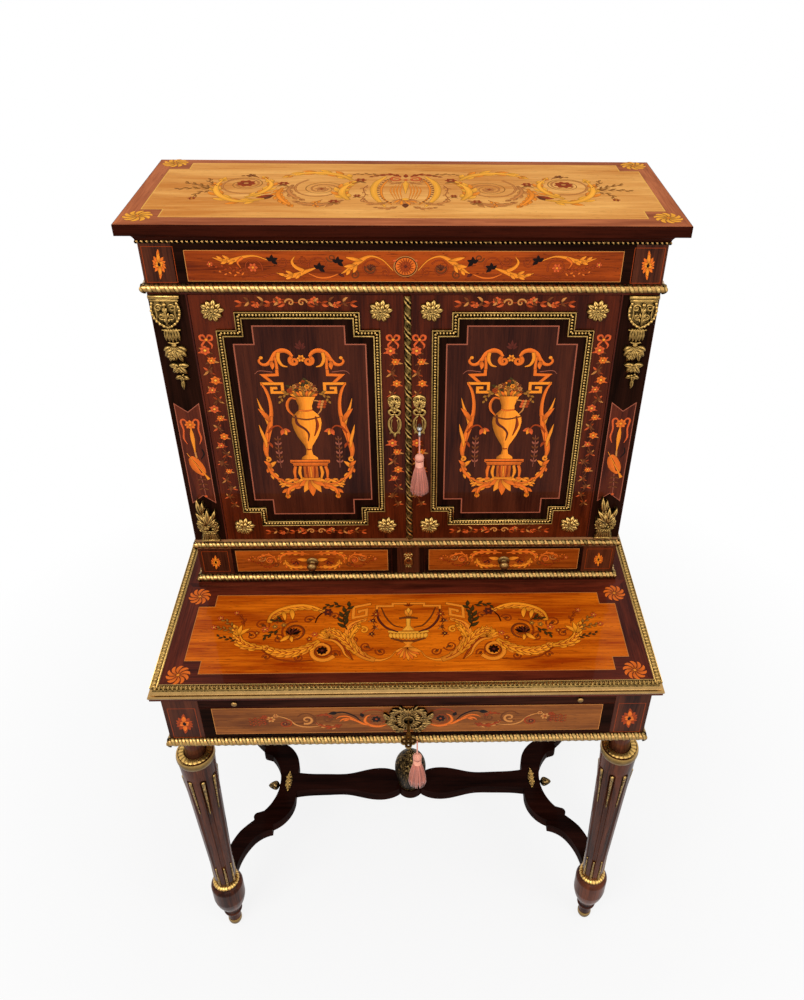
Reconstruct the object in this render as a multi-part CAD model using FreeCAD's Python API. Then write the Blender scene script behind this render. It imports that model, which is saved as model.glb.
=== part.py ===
import FreeCAD, Part
import math
import os

# Bonheur du jour: a writing table on four fluted legs, with a two-door cupboard at the back of its top.
# Built with X to the right, Y to the back from the back plane of the desk at zero, and Z up from the floor.
# At the end every piece is shifted so that the origin lies under the middle of the whole desk.

V = FreeCAD.Vector
os.makedirs("parts", exist_ok=True)

# Fits
seat_gap = 0.6            # clearance between a drawer or slide and what it runs on or between
door_gap = 0.8            # clearance round a door
meeting_gap = 1.0         # clearance between the two doors
spindle_play = 0.05       # radial clearance of a turning pin or key
bolt_play = 0.4           # clearance round a lock bolt
hang_gap = 0.3            # clearance between a key bow and the cord that hangs from it

# Writing table
table_width = 838.0
table_depth = 533.0
table_height = 785.0
table_thickness = 22.0
tongue_thickness = 4.0    # thin wooden lip that carries the gilt table edge
tongue_setback = 2.0
edge_width = 17.0         # gilt table edge, seen from above
edge_proud = 1.0

# Apron and its corner blocks
apron_inset_side = 15.0
apron_inset_front = 14.0
apron_height = 123.0
apron_board = 18.0
block_size = 59.0
apron_moulding_drop = 5.0  # how far the gilt moulding hangs below the apron
apron_moulding_height = 16.0
apron_moulding_depth = 7.0
moulding_flat = 1.2       # flat at the top and bottom of a half-round moulding
front_rail_height = 12.0
front_rail_depth = 40.0

# Legs, from the floor up
leg_inset_x = 28.0
leg_inset_y = 20.0
sabot_radius = 13.2
sabot_height = 22.0
sabot_tip_radius = 8.0
sabot_swell_height = 9.0
foot_radius = 12.6
foot_height = 24.0
ankle_ring_radius = 19.0
ankle_ring_height = 12.0
waist_radius = 17.0
waist_height = 8.0
knop_flare_height = 8.0
knop_bottom_radius = 22.0
knop_middle_radius = 28.7
knop_radius = 32.0
knop_rise = 38.0
knop_band_height = 40.0
knop_shoulder_radius = 30.0
knop_shoulder_height = 11.0
knop_top_radius = 25.0
knop_ring_radius = 25.0
knop_ring_height = 7.0
knop_ring_play = 0.1
shaft_bottom_radius = 20.0
shaft_top_radius = 31.0
cap_flare_height = 30.0   # from the top of the shaft to the gilt collar
cap_radius = 32.5
cap_core_radius = 30.0
collar_height = 15.0
collar_swell = 1.5
neck_foot_radius = 19.0
neck_foot_height = 16.0
neck_radius = 16.5
neck_height = 50.0        # from the gilt collar to the apron
dowel_radius = 10.0
dowel_length = 25.0
flute_count = 8
flute_radius_top = 6.4
flute_radius_bottom = 4.3
flute_foot_margin = 6.0   # from the gilt ring on the knop to the flute's lower axis point
flute_head_margin = 9.0   # from the flute's upper axis point to the top of the shaft
flute_centre_out = 1.6    # how far the flute's axis lies outside the shaft
drop_length = 103.0       # gilt husk drop in the upper end of a flute
drop_radius_top = 3.4
drop_radius_bottom = 1.3
chandelle_length = 60.0   # gilt rod in the lower end of a flute
chandelle_radius = 2.7
chandelle_radius_top = 1.8
mount_seat = 0.5          # how deep a gilt mount is let into the bottom of its flute

# Stretcher
stretcher_top = 150.0
stretcher_thickness = 24.0
sweep_in = 119.0          # from the leg axis to the inner edge of the C at its middle
arm_width = 38.0
cross_half_width = 24.0   # at the ends of the cross bar
hub_radius = 30.0
finial_height = 120.0
finial_base_height = 5.0
hub_neck_share = 0.8      # of the hub's radius, where the cross bar's wavy sides meet the hub
finial_radius = 34.5
finial_foot_radius = 27.0
acorn_length = 28.0
acorn_radius = 10.0
acorn_stem_radius = 3.2
acorn_stem_length = 4.0
spray_length = 50.0
spray_width = 14.0
spray_thickness = 2.5

# Long drawer
drawer_front_height = 77.4
drawer_front_thickness = 20.0
drawer_lip_height = 10.0
drawer_lip_thickness = 9.0
drawer_side_thickness = 12.0
drawer_side_height = 58.0
drawer_side_clear = 4.0   # from the front's end to the box's side
drawer_bottom_thickness = 6.0
drawer_back_space = 60.0
runner_width = 60.0
runner_guide_height = 45.0
bed_thickness = 9.0

# Writing slide
slide_board_thickness = 20.0
slide_rail_thickness = 18.0
slide_back_space = 60.0
slide_guide_height = 22.0
leather_thickness = 1.5
leather_margin = 30.0
leather_depth = 260.0
slide_knob_margin = 60.4  # from the end of the slide's front rail
slide_knob_radius = 5.0
slide_knob_neck_radius = 2.4
slide_knob_length = 9.0
slide_knob_neck_length = 3.0

# Cupboard
cabinet_width = 754.0
cabinet_depth = 272.5
side_board = 18.0
front_board = 22.0        # pilasters, end blocks, frieze and waist rail
back_board = 8.0
floor_board = 14.0
drawer_row_height = 62.0
waist_rail_height = 21.0
door_opening_height = 472.0
frieze_height = 83.0
ceiling_board = 16.0
shelf_board = 12.0
shelf_rise = 230.0        # from the floor of the door space to the shelf
shelf_setback = 12.0
top_board = 13.0
pilaster_width = 57.0
end_block_width = 59.0
centre_block_width = 60.0
partition_board = 12.0
guide_width = 12.0
guide_height = 20.0

# Cornice
cornice_overhang_side = 23.0
cornice_overhang_front = 21.5
cornice_thickness = 16.0
cove_reach = 17.0
cove_lip = 2.0
bead_height = 5.0
bead_depth = 3.0

# Gilt mouldings of the cupboard, each with its rise above the lower edge of its board
frieze_moulding_rise = 4.0
frieze_moulding_height = 12.0
frieze_moulding_depth = 7.5
waist_moulding_rise = 3.0
waist_moulding_height = 12.0
waist_moulding_depth = 5.5
base_moulding_height = 14.0
base_moulding_depth = 8.0

# Pilaster mounts
capital_width = 45.0
capital_shift = 5.0       # towards the outer edge from the pilaster's middle
drop_shift = 1.5
abacus_height = 7.0
abacus_depth = 13.0
capital_depth = 11.0
capital_height = 54.0
cup_height = 30.0
drop_width = 37.0
drop_height = 76.0
drop_depth = 8.0
basket_width = 44.0
basket_height = 97.0
basket_depth = 9.0

# Doors
door_thickness = 22.0
door_axis_inset = 6.0     # from the door's outer edge and its front face
meeting_line = -3.5       # where the doors meet, left of the middle
pin_radius = 3.0
pin_length = 10.0
frame_middle_margin = 39.0  # gilt frame, from the middle of the desk
frame_side_margin = 34.2  # from the door's outer edge
frame_foot_margin = 33.2
frame_head_margin = 26.2
frame_notch = 30.0
frame_band = 11.0
frame_thickness = 4.5
rosette_radius = 19.0
rosette_thickness = 7.0
rosette_middle_margin = 37.5  # rosette centres, from the middle of the desk
rosette_side_margin = 32.7  # from the door's outer edge
rosette_foot_margin = 31.2
rosette_head_margin = 24.7
plate_offset = 20.0       # door escutcheon, from the middle of the desk
plate_width = 21.0
plate_height = 70.0
plate_thickness = 2.5
plate_rise = 19.0         # from the keyhole up to the plate's middle
astragal_width = 11.0
astragal_thickness = 5.0
door_key_rise = 3.5       # from the middle of the gilt frame

# Locks, keys and tassels
case_width = 36.0
case_below_key = 14.0
case_thickness = 12.0
case_wall = 1.5
bolt_width = 16.0
bolt_thickness = 4.0
bolt_start = 10.0         # from the key's axis to the inner end of the bolt
bolt_face_gap = 1.0       # how far the bolt's end lies inside the edge at rest
bolt_travel = 7.0
key_shaft_radius = 2.5
key_bit_reach = 7.5
key_bit_width = 3.0
key_bit_depth = 4.0
key_hole_radius = 3.4
key_collar_radius = 3.8
key_collar_length = 2.4
door_key_reach = 21.0     # from the door's face to the middle of the bow
door_bow_radius = 9.5
drawer_key_reach = 41.0
drawer_bow_radius = 13.0
bow_thickness = 3.0
bow_hole_radius = 1.8
bow_lobe_share = 0.46
drawer_key_rise = 37.4    # from the lower edge of the drawer front
cord_radius = 1.2
cord_length = 34.0
tassel_head_radius = 7.2
tassel_neck_radius = 6.2
tassel_neck_height = 11.0
tassel_skirt_length = 52.0
tassel_skirt_radius = 15.0
tassel_swell = 1.5        # how far the skirt's side bows out at its middle
drawer_plate_width = 78.0
drawer_plate_height = 52.0
drawer_plate_thickness = 5.0
drawer_plate_rise = 7.0   # from the keyhole up to the plate's middle
centre_plate_width = 15.0
centre_plate_height = 36.0
centre_plate_thickness = 2.0

# Small drawers
small_front_thickness = 16.0
small_side_thickness = 8.0
small_bottom_thickness = 5.0
small_side_height = 50.0
small_back_space = 36.0
small_box_clear = 3.0     # from the front's end to the box's side
small_knob_drop = 3.0     # below the middle of the drawer row
knob_rose_radius = 11.0
knob_head_radius = 9.0
knob_length = 20.0

# Outlines, in shares of the width or half width and of the height that they follow
c_stretcher_shares = [
    [(0.65, 0.12), (0.45, 0.305)], (0.345, 0.322), [(0.28, 0.35), (0.30, 0.395)],
    [(0.21, 0.435), (0.07, 0.51)], [(-0.05, 0.63), (-0.11, 0.92)], (0.11, 0.92),
    [(0.20, 0.70), (0.32, 0.597)], [(0.47, 0.53), (0.645, 0.497)], (0.645, 0.447),
    [(0.93, 0.31), (1, 0.13)], (1, 0)]
cross_stretcher_shares = [
    (0.91, 0.88), (0.69, 0.8), (0.5, 0.82), (0.32, 1.22), (0.2, 1.38), (0.1, 1.28), (0, 0.83)]
finial_shares = [(0.93, 0.25), (1, 0.44), (0.86, 0.64), (0.42, 0.82), (0.13, 0.94), (0, 1)]
acorn_shares = [(1, 0.4), (0.75, 0.7), (0.3, 0.93), (0, 1)]
edge_shares = [
    (0, 1), (0.3, 1), (0.41, 0.9), (0.56, 0.89), (0.72, 0.48), (0.76, 0.4), (0.93, 0.4), (1, 0.2), (0.9, 0)]
cove_share = 0.35         # how far in and down the cove's arc passes
capital_shares = [(0, 0), (0.7, 0.24), (0.98, 0.55), (0.85, 1)]
drop_shares = [(0, 0), (0.45, 0.24), (1, 0.5), (0.28, 0.72), (0.76, 1)]
basket_shares = [(0.7, 0), (0.62, 0.14), (1, 0.42), (0.5, 0.74), (0, 1)]
escutcheon_shares = [
    [(1.0, 0.93), (0.75, 0.70)], [(0.45, 0.55), (0.80, 0.36)], [(0.42, 0.22), (0.70, 0.08)],
    [(1.0, -0.35), (0.78, -0.72)], [(0.5, -0.97), (0, -1.0)], [(-0.5, -0.97), (-0.78, -0.72)],
    [(-1.0, -0.35), (-0.70, 0.08)], [(-0.42, 0.22), (-0.80, 0.36)], [(-0.45, 0.55), (-0.75, 0.70)],
    [(-1.0, 0.93), (0, 1.0)]]
drawer_plate_shares = [
    [(0.52, 0.88), (0.68, 0.38)], [(0.82, 0.42), (1, 0.1)], [(0.88, -0.35), (0.66, -0.4)],
    [(0.5, -0.85), (0, -1)], [(-0.5, -0.85), (-0.66, -0.4)], [(-0.88, -0.35), (-1, 0.1)],
    [(-0.82, 0.42), (-0.68, 0.38)], [(-0.52, 0.88), (0, 1)]]
frame_shares = [(0, 0.33), [(0.25, 1), (0.5, 0.5)], [(0.75, 0.83), (1, 0.25)], (1, 0)]
rosette_shares = [(1, 0.2), (0.85, 0.6), (0.6, 0.7), (0.35, 0.95), (0, 1)]
knob_shares = [(1.1, 0.12), (0.5, 0.25), (0.45, 0.45), (0.95, 0.65), (0.9, 0.8), (0.5, 0.97), (0, 1)]
slide_knob_shares = [(0.95, 0.5), (0.95, 0.8), (0.5, 0.97), (0, 1)]

# Places that follow from the sizes
half_table = table_width / 2
table_underside = table_height - table_thickness
apron_bottom = table_underside - apron_height
half_apron = half_table - apron_inset_side
apron_front = apron_inset_front - table_depth
apron_back_face = -apron_inset_front
leg_x = half_apron - leg_inset_x
leg_front_y = apron_front + leg_inset_y
leg_back_y = apron_back_face - leg_inset_y
middle_y = -table_depth / 2
half_span = leg_back_y - middle_y
ankle_height = sabot_height + foot_height
ankle_ring_top = ankle_height + ankle_ring_height
waist_top = ankle_ring_top + waist_height
knop_bottom = waist_top + knop_flare_height
knop_belly = knop_bottom + knop_rise
knop_shoulder = knop_belly + knop_band_height
knop_top = knop_shoulder + knop_shoulder_height
knop_ring_top = knop_top + knop_ring_height
cap_top = apron_bottom - neck_height
cap_band_top = cap_top - collar_height
shaft_top = cap_band_top - cap_flare_height
flute_bottom = knop_ring_top + flute_foot_margin
flute_top = shaft_top - flute_head_margin
drawer_front_bottom = apron_bottom + front_rail_height + seat_gap
drawer_front_top = drawer_front_bottom + drawer_front_height
drawer_key_height = drawer_front_bottom + drawer_key_rise
half_cabinet = cabinet_width / 2
block_inner = half_apron - block_size
block_back = apron_front + block_size
rear_block_front = apron_back_face - block_size
drawer_side = block_inner - seat_gap - drawer_side_clear
drawer_lock_depth = drawer_front_thickness - case_thickness
cabinet_front = -cabinet_depth
board_front = cabinet_front + front_board
floor_top = table_height + floor_board
waist_rail_bottom = floor_top + drawer_row_height
waist_rail_top = waist_rail_bottom + waist_rail_height
frieze_bottom = waist_rail_top + door_opening_height
carcass_top = frieze_bottom + frieze_height
cornice_bottom = carcass_top + top_board
cornice_top = cornice_bottom + cornice_thickness
door_outer = half_cabinet - pilaster_width - door_gap
door_bottom = waist_rail_top + door_gap
door_top = frieze_bottom - door_gap
frame_width = door_outer - frame_side_margin - frame_middle_margin
frame_centre = frame_middle_margin + frame_width / 2
frame_height = door_top - frame_head_margin - door_bottom - frame_foot_margin
frame_centre_height = door_bottom + frame_foot_margin + frame_height / 2
door_key_height = frame_centre_height + door_key_rise
hinge_x = door_outer - door_axis_inset
hinge_y = cabinet_front + door_axis_inset
overall_front = apron_front - drawer_key_reach - drawer_bow_radius
origin_y = overall_front / 2
mitre_reach = cornice_top + table_width
quarter_turn = 90.0
closing_tolerance = 0.001


# Drawing helpers
def box(x0, x1, y0, y1, z0, z1):
    """Box between two X, two Y and two Z values."""
    return Part.makeBox(x1 - x0, y1 - y0, z1 - z0, V(x0, y0, z0))


def cylinder(radius, start, direction, length):
    return Part.makeCylinder(radius, length, start, direction)


def outline(start, steps, place):
    """Closed wire. A step is a point for a line, two points for an arc, or more for a smooth curve."""
    edges = []
    here = place(*start)
    for step in steps:
        if isinstance(step, tuple):
            there = place(*step)
            edges.append(Part.LineSegment(here, there).toShape())
        elif len(step) == 2:
            there = place(*step[1])
            edges.append(Part.Arc(here, place(*step[0]), there).toShape())
        else:
            curve = Part.BSplineCurve()
            curve.interpolate([here] + [place(*point) for point in step])
            there = place(*step[-1])
            edges.append(curve.toShape())
        here = there
    first = place(*start)
    if first.distanceToPoint(here) > closing_tolerance:
        edges.append(Part.LineSegment(here, first).toShape())
    return Part.Wire(edges)


def plate(start, steps, place, thickness):
    """Outline extruded by the vector thickness."""
    return Part.Face(outline(start, steps, place)).extrude(thickness)


def turned(start, steps, centre, axis=V(0, 0, 1)):
    """Solid of revolution. The profile's points are (radius, height) and start and end on the axis."""
    face = Part.Face(outline(start, steps, lambda r, z: V(r, 0, z)))
    solid = face.revolve(V(0, 0, 0), V(0, 0, 1), math.degrees(math.tau))
    solid.Placement = FreeCAD.Placement(centre, FreeCAD.Rotation(V(0, 0, 1), axis))
    return solid


def joined(shapes):
    """One solid out of several that touch or overlap."""
    first = shapes[0]
    for shape in shapes[1:]:
        first = first.fuse(shape)
    return first.removeSplitter()


def mirror_x(shape):
    return shape.mirror(V(0, 0, 0), V(1, 0, 0))


def mirror_y(shape):
    return shape.mirror(V(0, middle_y, 0), V(0, 1, 0))


def scaled(shares, width, height):
    """Outline steps given in shares, in millimetres. A nested list is one curve."""
    return [scaled(item, width, height) if isinstance(item, list) else (item[0] * width, item[1] * height)
            for item in shares]


def both_sides(shapes):
    return shapes + [mirror_x(shape) for shape in shapes]


def four_corners(shape):
    left = [shape, mirror_y(shape)]
    return both_sides(left)


def export(name, shapes):
    """Write one node: its solids, shifted so that the origin lies under the middle of the desk."""
    solids = [solid for shape in shapes for solid in shape.Solids]
    body = solids[0] if len(solids) == 1 else Part.makeCompound(solids)
    moved(body, V(0, -origin_y, 0)).exportStep("parts/" + name + ".step")
    print(name, len(solids), "solids,", round(body.Volume), "cubic mm, valid", body.isValid())


def moved(shape, vector):
    copy = shape.copy()
    copy.translate(vector)
    return copy


def moulding(corners, start, steps, closed, place):
    """Lengths of moulding along a line of corners, mitred where they meet, each a solid of its own.

    The section's points are (out, up), where out is to the right of the line's travel."""
    count = len(corners)
    lengths = count if closed else count - 1
    points = [V(a, b, 0) for a, b in corners]
    runs = [points[(i + 1) % count] - points[i] for i in range(lengths)]
    normals = [V(run.y, -run.x, 0).normalize() for run in runs]
    up = place(0, 0, 1) - place(0, 0, 0)
    pieces = []
    for i in range(lengths):
        near = points[i]
        along = V(runs[i]).normalize()
        out = normals[i]
        at_start = closed or i > 0
        at_end = closed or i < lengths - 1
        before = mitre_reach * at_start
        after = mitre_reach * at_end
        base = near - along * before

        def section(u, v):
            spot = base + out * u
            return place(spot.x, spot.y, v)

        travel = along * (before + runs[i].Length + after)
        piece = plate(start, steps, section, place(travel.x, travel.y, 0) - place(0, 0, 0))
        ends = []
        if at_start:
            ends.append((near, normals[i - 1], -along))
        if at_end:
            ends.append((points[(i + 1) % count], normals[(i + 1) % lengths], along))
        for corner, other, away in ends:
            bisector = (out + other).normalize() * (mitre_reach * 2)
            back = away * (mitre_reach * 3)
            low = corner - bisector
            high = corner + bisector
            spots = [place(p.x, p.y, -mitre_reach * 2) for p in (low, high, high + back, low + back, low)]
            wedge = Part.Face(Part.makePolygon(spots)).extrude(up * (mitre_reach * 4))
            piece = piece.cut(wedge)
        pieces.append(piece)
    return pieces


def level(x, y, z):
    return V(x, y, z)


def half_round(bottom, height, depth):
    """Section of a half-round moulding on a vertical face, with a small flat at top and bottom."""
    top = bottom + height
    middle = (bottom + top) / 2
    return (0, bottom), [(moulding_flat, bottom), [(depth, middle), (moulding_flat, top)], (0, top)]


def three_sides(half_width, front, back=0):
    """Line round the left side, the front and the right side."""
    return [(-half_width, back), (-half_width, front), (half_width, front), (half_width, back)]


# Legs
def leg_profile():
    start = (0, sabot_height)
    steps = [
        (foot_radius, sabot_height),
        (foot_radius, ankle_height),
        [(ankle_ring_radius, (ankle_height + ankle_ring_top) / 2), (waist_radius, ankle_ring_top)],
        (waist_radius, waist_top),
        (knop_bottom_radius, knop_bottom),
        [(knop_middle_radius, (knop_bottom + knop_belly) / 2), (knop_radius, knop_belly)],
        (knop_radius, knop_shoulder),
        [(knop_shoulder_radius, (knop_shoulder + knop_top) / 2), (knop_top_radius, knop_top)],
        (shaft_bottom_radius, knop_top),
        (shaft_top_radius, shaft_top),
        (cap_radius, cap_band_top),
        (cap_core_radius, cap_band_top),
        (cap_core_radius, cap_top),
        (neck_foot_radius, cap_top),
        [(neck_radius + (neck_foot_radius - neck_radius) / 4, cap_top + neck_foot_height / 2),
         (neck_radius, cap_top + neck_foot_height)],
        (neck_radius, apron_bottom),
        (dowel_radius, apron_bottom),
        (dowel_radius, apron_bottom + dowel_length),
        (0, apron_bottom + dowel_length),
    ]
    return start, steps


def shaft_radius_at(height):
    share = (height - knop_top) / (shaft_top - knop_top)
    return shaft_bottom_radius + (shaft_top_radius - shaft_bottom_radius) * share


def flute_radius_at(height):
    share = (height - flute_bottom) / (flute_top - flute_bottom)
    return flute_radius_bottom + (flute_radius_top - flute_radius_bottom) * share


def tapered_rod(low, high, radius_low, radius_high, out_low, out_high, angle):
    """Rod with round ends along the shaft. Its axis lies outside the shaft by the two given distances."""
    direction = V(math.cos(angle), math.sin(angle), 0)
    foot = direction * (shaft_radius_at(low) + out_low) + V(0, 0, low)
    head = direction * (shaft_radius_at(high) + out_high) + V(0, 0, high)
    line = head - foot
    rod = Part.makeCone(radius_low, radius_high, line.Length, foot, line)
    ends = [Part.makeSphere(radius_low, foot), Part.makeSphere(radius_high, head)]
    return rod.fuse(ends).removeSplitter()


def flute_mount(low, high, radius_low, radius_high, angle):
    """Gilt rod that lies in the bottom of a flute."""
    out_low = flute_centre_out - flute_radius_at(low) + radius_low - mount_seat
    out_high = flute_centre_out - flute_radius_at(high) + radius_high - mount_seat
    return tapered_rod(low, high, radius_low, radius_high, out_low, out_high, angle)


def make_leg():
    """One leg on the axis, with its flutes, and the gilt rods that lie in them."""
    start, steps = leg_profile()
    leg = turned(start, steps, V(0, 0, 0))
    flutes = []
    mounts = []
    drop_top = flute_top - drop_radius_top
    drop_bottom = flute_top - drop_length
    chandelle_top = flute_bottom + chandelle_length
    for number in range(flute_count):
        angle = math.tau * (number + 1 / 2) / flute_count
        flutes.append(tapered_rod(flute_bottom, flute_top, flute_radius_bottom, flute_radius_top,
                                  flute_centre_out, flute_centre_out, angle))
        mounts.append(flute_mount(drop_bottom, drop_top, drop_radius_bottom, drop_radius_top, angle))
        mounts.append(flute_mount(flute_bottom, chandelle_top, chandelle_radius, chandelle_radius_top, angle))
    leg = leg.cut(flutes)
    return leg, [mount.cut(leg) for mount in mounts]


def ring(inner, outer, swell, bottom, top):
    """Ring round the Z axis whose outer face swells out at its middle."""
    steps = [(outer, bottom), [(outer + swell, (bottom + top) / 2), (outer, top)], (inner, top)]
    face = Part.Face(outline((inner, bottom), steps, lambda r, z: V(r, 0, z)))
    return face.revolve(V(0, 0, 0), V(0, 0, 1), math.degrees(math.tau))


def make_sabot():
    """Gilt cup round the end of the foot, flat where it stands."""
    steps = [(sabot_tip_radius, 0),
             [(sabot_radius, sabot_swell_height), (sabot_radius, sabot_height)],
             (0, sabot_height)]
    return turned((0, 0), steps, V(0, 0, 0))


def at_every_leg(shape):
    return four_corners(moved(shape, V(-leg_x, leg_front_y, 0)))


def build_legs():
    leg, mounts = make_leg()
    collar = ring(cap_core_radius, cap_radius, collar_swell, cap_band_top, cap_top)
    inner = shaft_radius_at(knop_ring_top) + knop_ring_play
    low_ring = ring(inner, knop_ring_radius - collar_swell, collar_swell, knop_top, knop_ring_top)
    export("legs", at_every_leg(leg))
    export("leg_rings", at_every_leg(collar) + at_every_leg(low_ring))
    export("leg_sabots", at_every_leg(make_sabot()))
    export("flute_mounts", [copy for mount in mounts for copy in at_every_leg(mount)])


# Stretcher
def build_side_stretchers():
    low = stretcher_top - stretcher_thickness

    def place(a, b):
        return V(-leg_x + a, middle_y - b, low)

    steps = scaled(c_stretcher_shares, sweep_in, half_span)
    half = plate((sweep_in - arm_width, 0), steps, place, V(0, 0, stretcher_thickness))
    knop = cylinder(knop_radius, V(-leg_x, leg_front_y, 0), V(0, 0, 1), knop_top)
    whole = joined([half, mirror_y(half)]).cut([knop, mirror_y(knop)])
    export("side_stretchers", both_sides([whole]))


def build_cross_stretcher():
    """Middle bar of the stretcher: a wavy bar each way from a round hub."""
    neck = hub_radius * hub_neck_share
    reach = leg_x - sweep_in - neck
    low = stretcher_top - stretcher_thickness

    def place(a, b):
        return V(-neck - a, middle_y - b, low)

    front = scaled(cross_stretcher_shares, reach, cross_half_width)
    back = [(a, -b) for a, b in reversed(front)]
    steps = [front, back[0], back[1:] + [(reach, -cross_half_width)]]
    bar = plate((reach, cross_half_width), steps, place, V(0, 0, stretcher_thickness))
    hub = cylinder(hub_radius, V(0, middle_y, low), V(0, 0, 1), stretcher_thickness)
    export("cross_stretcher", [joined([bar, mirror_x(bar), hub])])


def build_stretcher_mounts():
    steps = [(finial_foot_radius, 0), (finial_foot_radius, finial_base_height),
             scaled(finial_shares, finial_radius, finial_height)]
    export("stretcher_finial", [turned((0, 0), steps, V(0, middle_y, stretcher_top))])
    outer_face = V(-leg_x + sweep_in - arm_width, middle_y, stretcher_top - stretcher_thickness / 2)
    steps = [(acorn_stem_radius, 0), (acorn_stem_radius, acorn_stem_length),
             scaled(acorn_shares, acorn_radius, acorn_length)]
    acorn = turned((0, 0), steps, outer_face, V(-1, 0, 0))
    spray_x = -leg_x + sweep_in - arm_width / 2
    half_width = spray_width / 2
    half_length = spray_length / 2
    steps = [[(half_width, 0), (0, half_length)], [(-half_width, 0), (0, -half_length)]]
    spray = plate((0, -half_length), steps, lambda a, b: V(spray_x + a, middle_y + b, stretcher_top),
                  V(0, 0, spray_thickness))
    export("stretcher_mounts", both_sides([acorn, spray]))


# Apron
def build_apron():
    corner = box(-half_apron, -block_inner, apron_front, block_back, apron_bottom, table_underside)
    bore = cylinder(dowel_radius, V(-leg_x, leg_front_y, apron_bottom), V(0, 0, 1), dowel_length)
    export("corner_blocks", four_corners(corner.cut(bore)))
    side = box(-half_apron, -half_apron + apron_board, block_back, rear_block_front,
               apron_bottom, table_underside)
    export("apron_sides", both_sides([side]))
    export("apron_back", [box(-block_inner, block_inner, apron_back_face - apron_board, apron_back_face,
                              apron_bottom, table_underside)])
    export("front_rail", [box(-block_inner, block_inner, apron_front, apron_front + front_rail_depth,
                              apron_bottom, apron_bottom + front_rail_height)])
    start, steps = half_round(apron_bottom - apron_moulding_drop, apron_moulding_height, apron_moulding_depth)
    line = three_sides(half_apron, apron_front, apron_back_face)
    export("apron_moulding", moulding(line, start, steps, False, level))


def runner(bottom, thickness, guide_height):
    """Left ledge that a drawer or slide runs on, with its guide at the side."""
    outer = -half_apron + apron_board
    flat = box(outer, outer + runner_width, block_back, rear_block_front, bottom, bottom + thickness)
    guide_top = bottom + thickness + guide_height
    guide = box(outer, -drawer_side - seat_gap, block_back, rear_block_front, bottom + thickness, guide_top)
    return joined([flat, guide])


def build_runners():
    export("drawer_runners", both_sides([runner(apron_bottom, front_rail_height, runner_guide_height)]))
    bed_bottom = drawer_front_top + seat_gap - bed_thickness
    rail_front = apron_front + drawer_lip_thickness + seat_gap
    rail = box(-block_inner, block_inner, rail_front, block_back, bed_bottom, bed_bottom + bed_thickness)
    keyhole = V(0, apron_front, drawer_key_height)
    mortise = moved(bolt_space(drawer_lock_depth, mitre_reach, bolt_play), keyhole)
    ledge = runner(bed_bottom, bed_thickness, slide_guide_height)
    export("slide_bed", [rail.cut(mortise)] + both_sides([ledge]))


# Table top
def build_table_top():
    half_board = half_table - edge_width
    foot = table_underside + tongue_thickness
    half_tongue = half_table - tongue_setback
    tongue = box(-half_tongue, half_tongue, -table_depth + tongue_setback, 0, table_underside, foot)
    board = box(-half_board, half_board, -table_depth + edge_width, 0, foot, table_height)
    export("table_top", [joined([tongue, board])])
    crown = table_height + edge_proud
    steps = [(-edge_width + a, foot + b) for a, b in scaled(edge_shares, edge_width, crown - foot)]
    line = three_sides(half_table, -table_depth)
    export("table_edge", moulding(line, (-edge_width, foot), steps, False, level))


# Cupboard
def build_cupboard():
    inner = half_cabinet - side_board
    side = box(-half_cabinet, -inner, board_front, -back_board, floor_top, carcass_top)
    export("cabinet_sides", both_sides([side]))
    export("cabinet_back", [box(-half_cabinet, half_cabinet, -back_board, 0, floor_top, carcass_top)])
    floor = box(-half_cabinet, half_cabinet, cabinet_front, 0, table_height, floor_top)
    waist_rail = box(-half_cabinet, half_cabinet, cabinet_front, board_front,
                     waist_rail_bottom, waist_rail_top)
    waist_board = box(-inner, inner, board_front, -back_board, waist_rail_bottom, waist_rail_top)
    ceiling = box(-inner, inner, board_front, -back_board, frieze_bottom, frieze_bottom + ceiling_board)
    top = box(-half_cabinet, half_cabinet, cabinet_front, 0, carcass_top, cornice_bottom)
    lower_pins = door_pins(waist_rail_top - pin_length, pin_length)
    export("cabinet_boards", [floor, waist_rail.cut(lower_pins), waist_board, ceiling, top])
    shelf_bottom = waist_rail_top + shelf_rise
    shelf = box(-inner, inner, board_front + shelf_setback, -back_board,
                shelf_bottom, shelf_bottom + shelf_board)
    export("cabinet_shelf", [shelf])
    frieze = box(-half_cabinet, half_cabinet, cabinet_front, board_front, frieze_bottom, carcass_top)
    export("frieze_front", [frieze.cut(door_pins(frieze_bottom, pin_length))])
    pilaster = box(-half_cabinet, -half_cabinet + pilaster_width, cabinet_front, board_front,
                   waist_rail_top, frieze_bottom)
    export("pilasters", both_sides([pilaster]))


def door_pins(bottom, length):
    """Both pins of the doors at one height."""
    return [cylinder(pin_radius, V(x, hinge_y, bottom), V(0, 0, 1), length) for x in (-hinge_x, hinge_x)]


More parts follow.
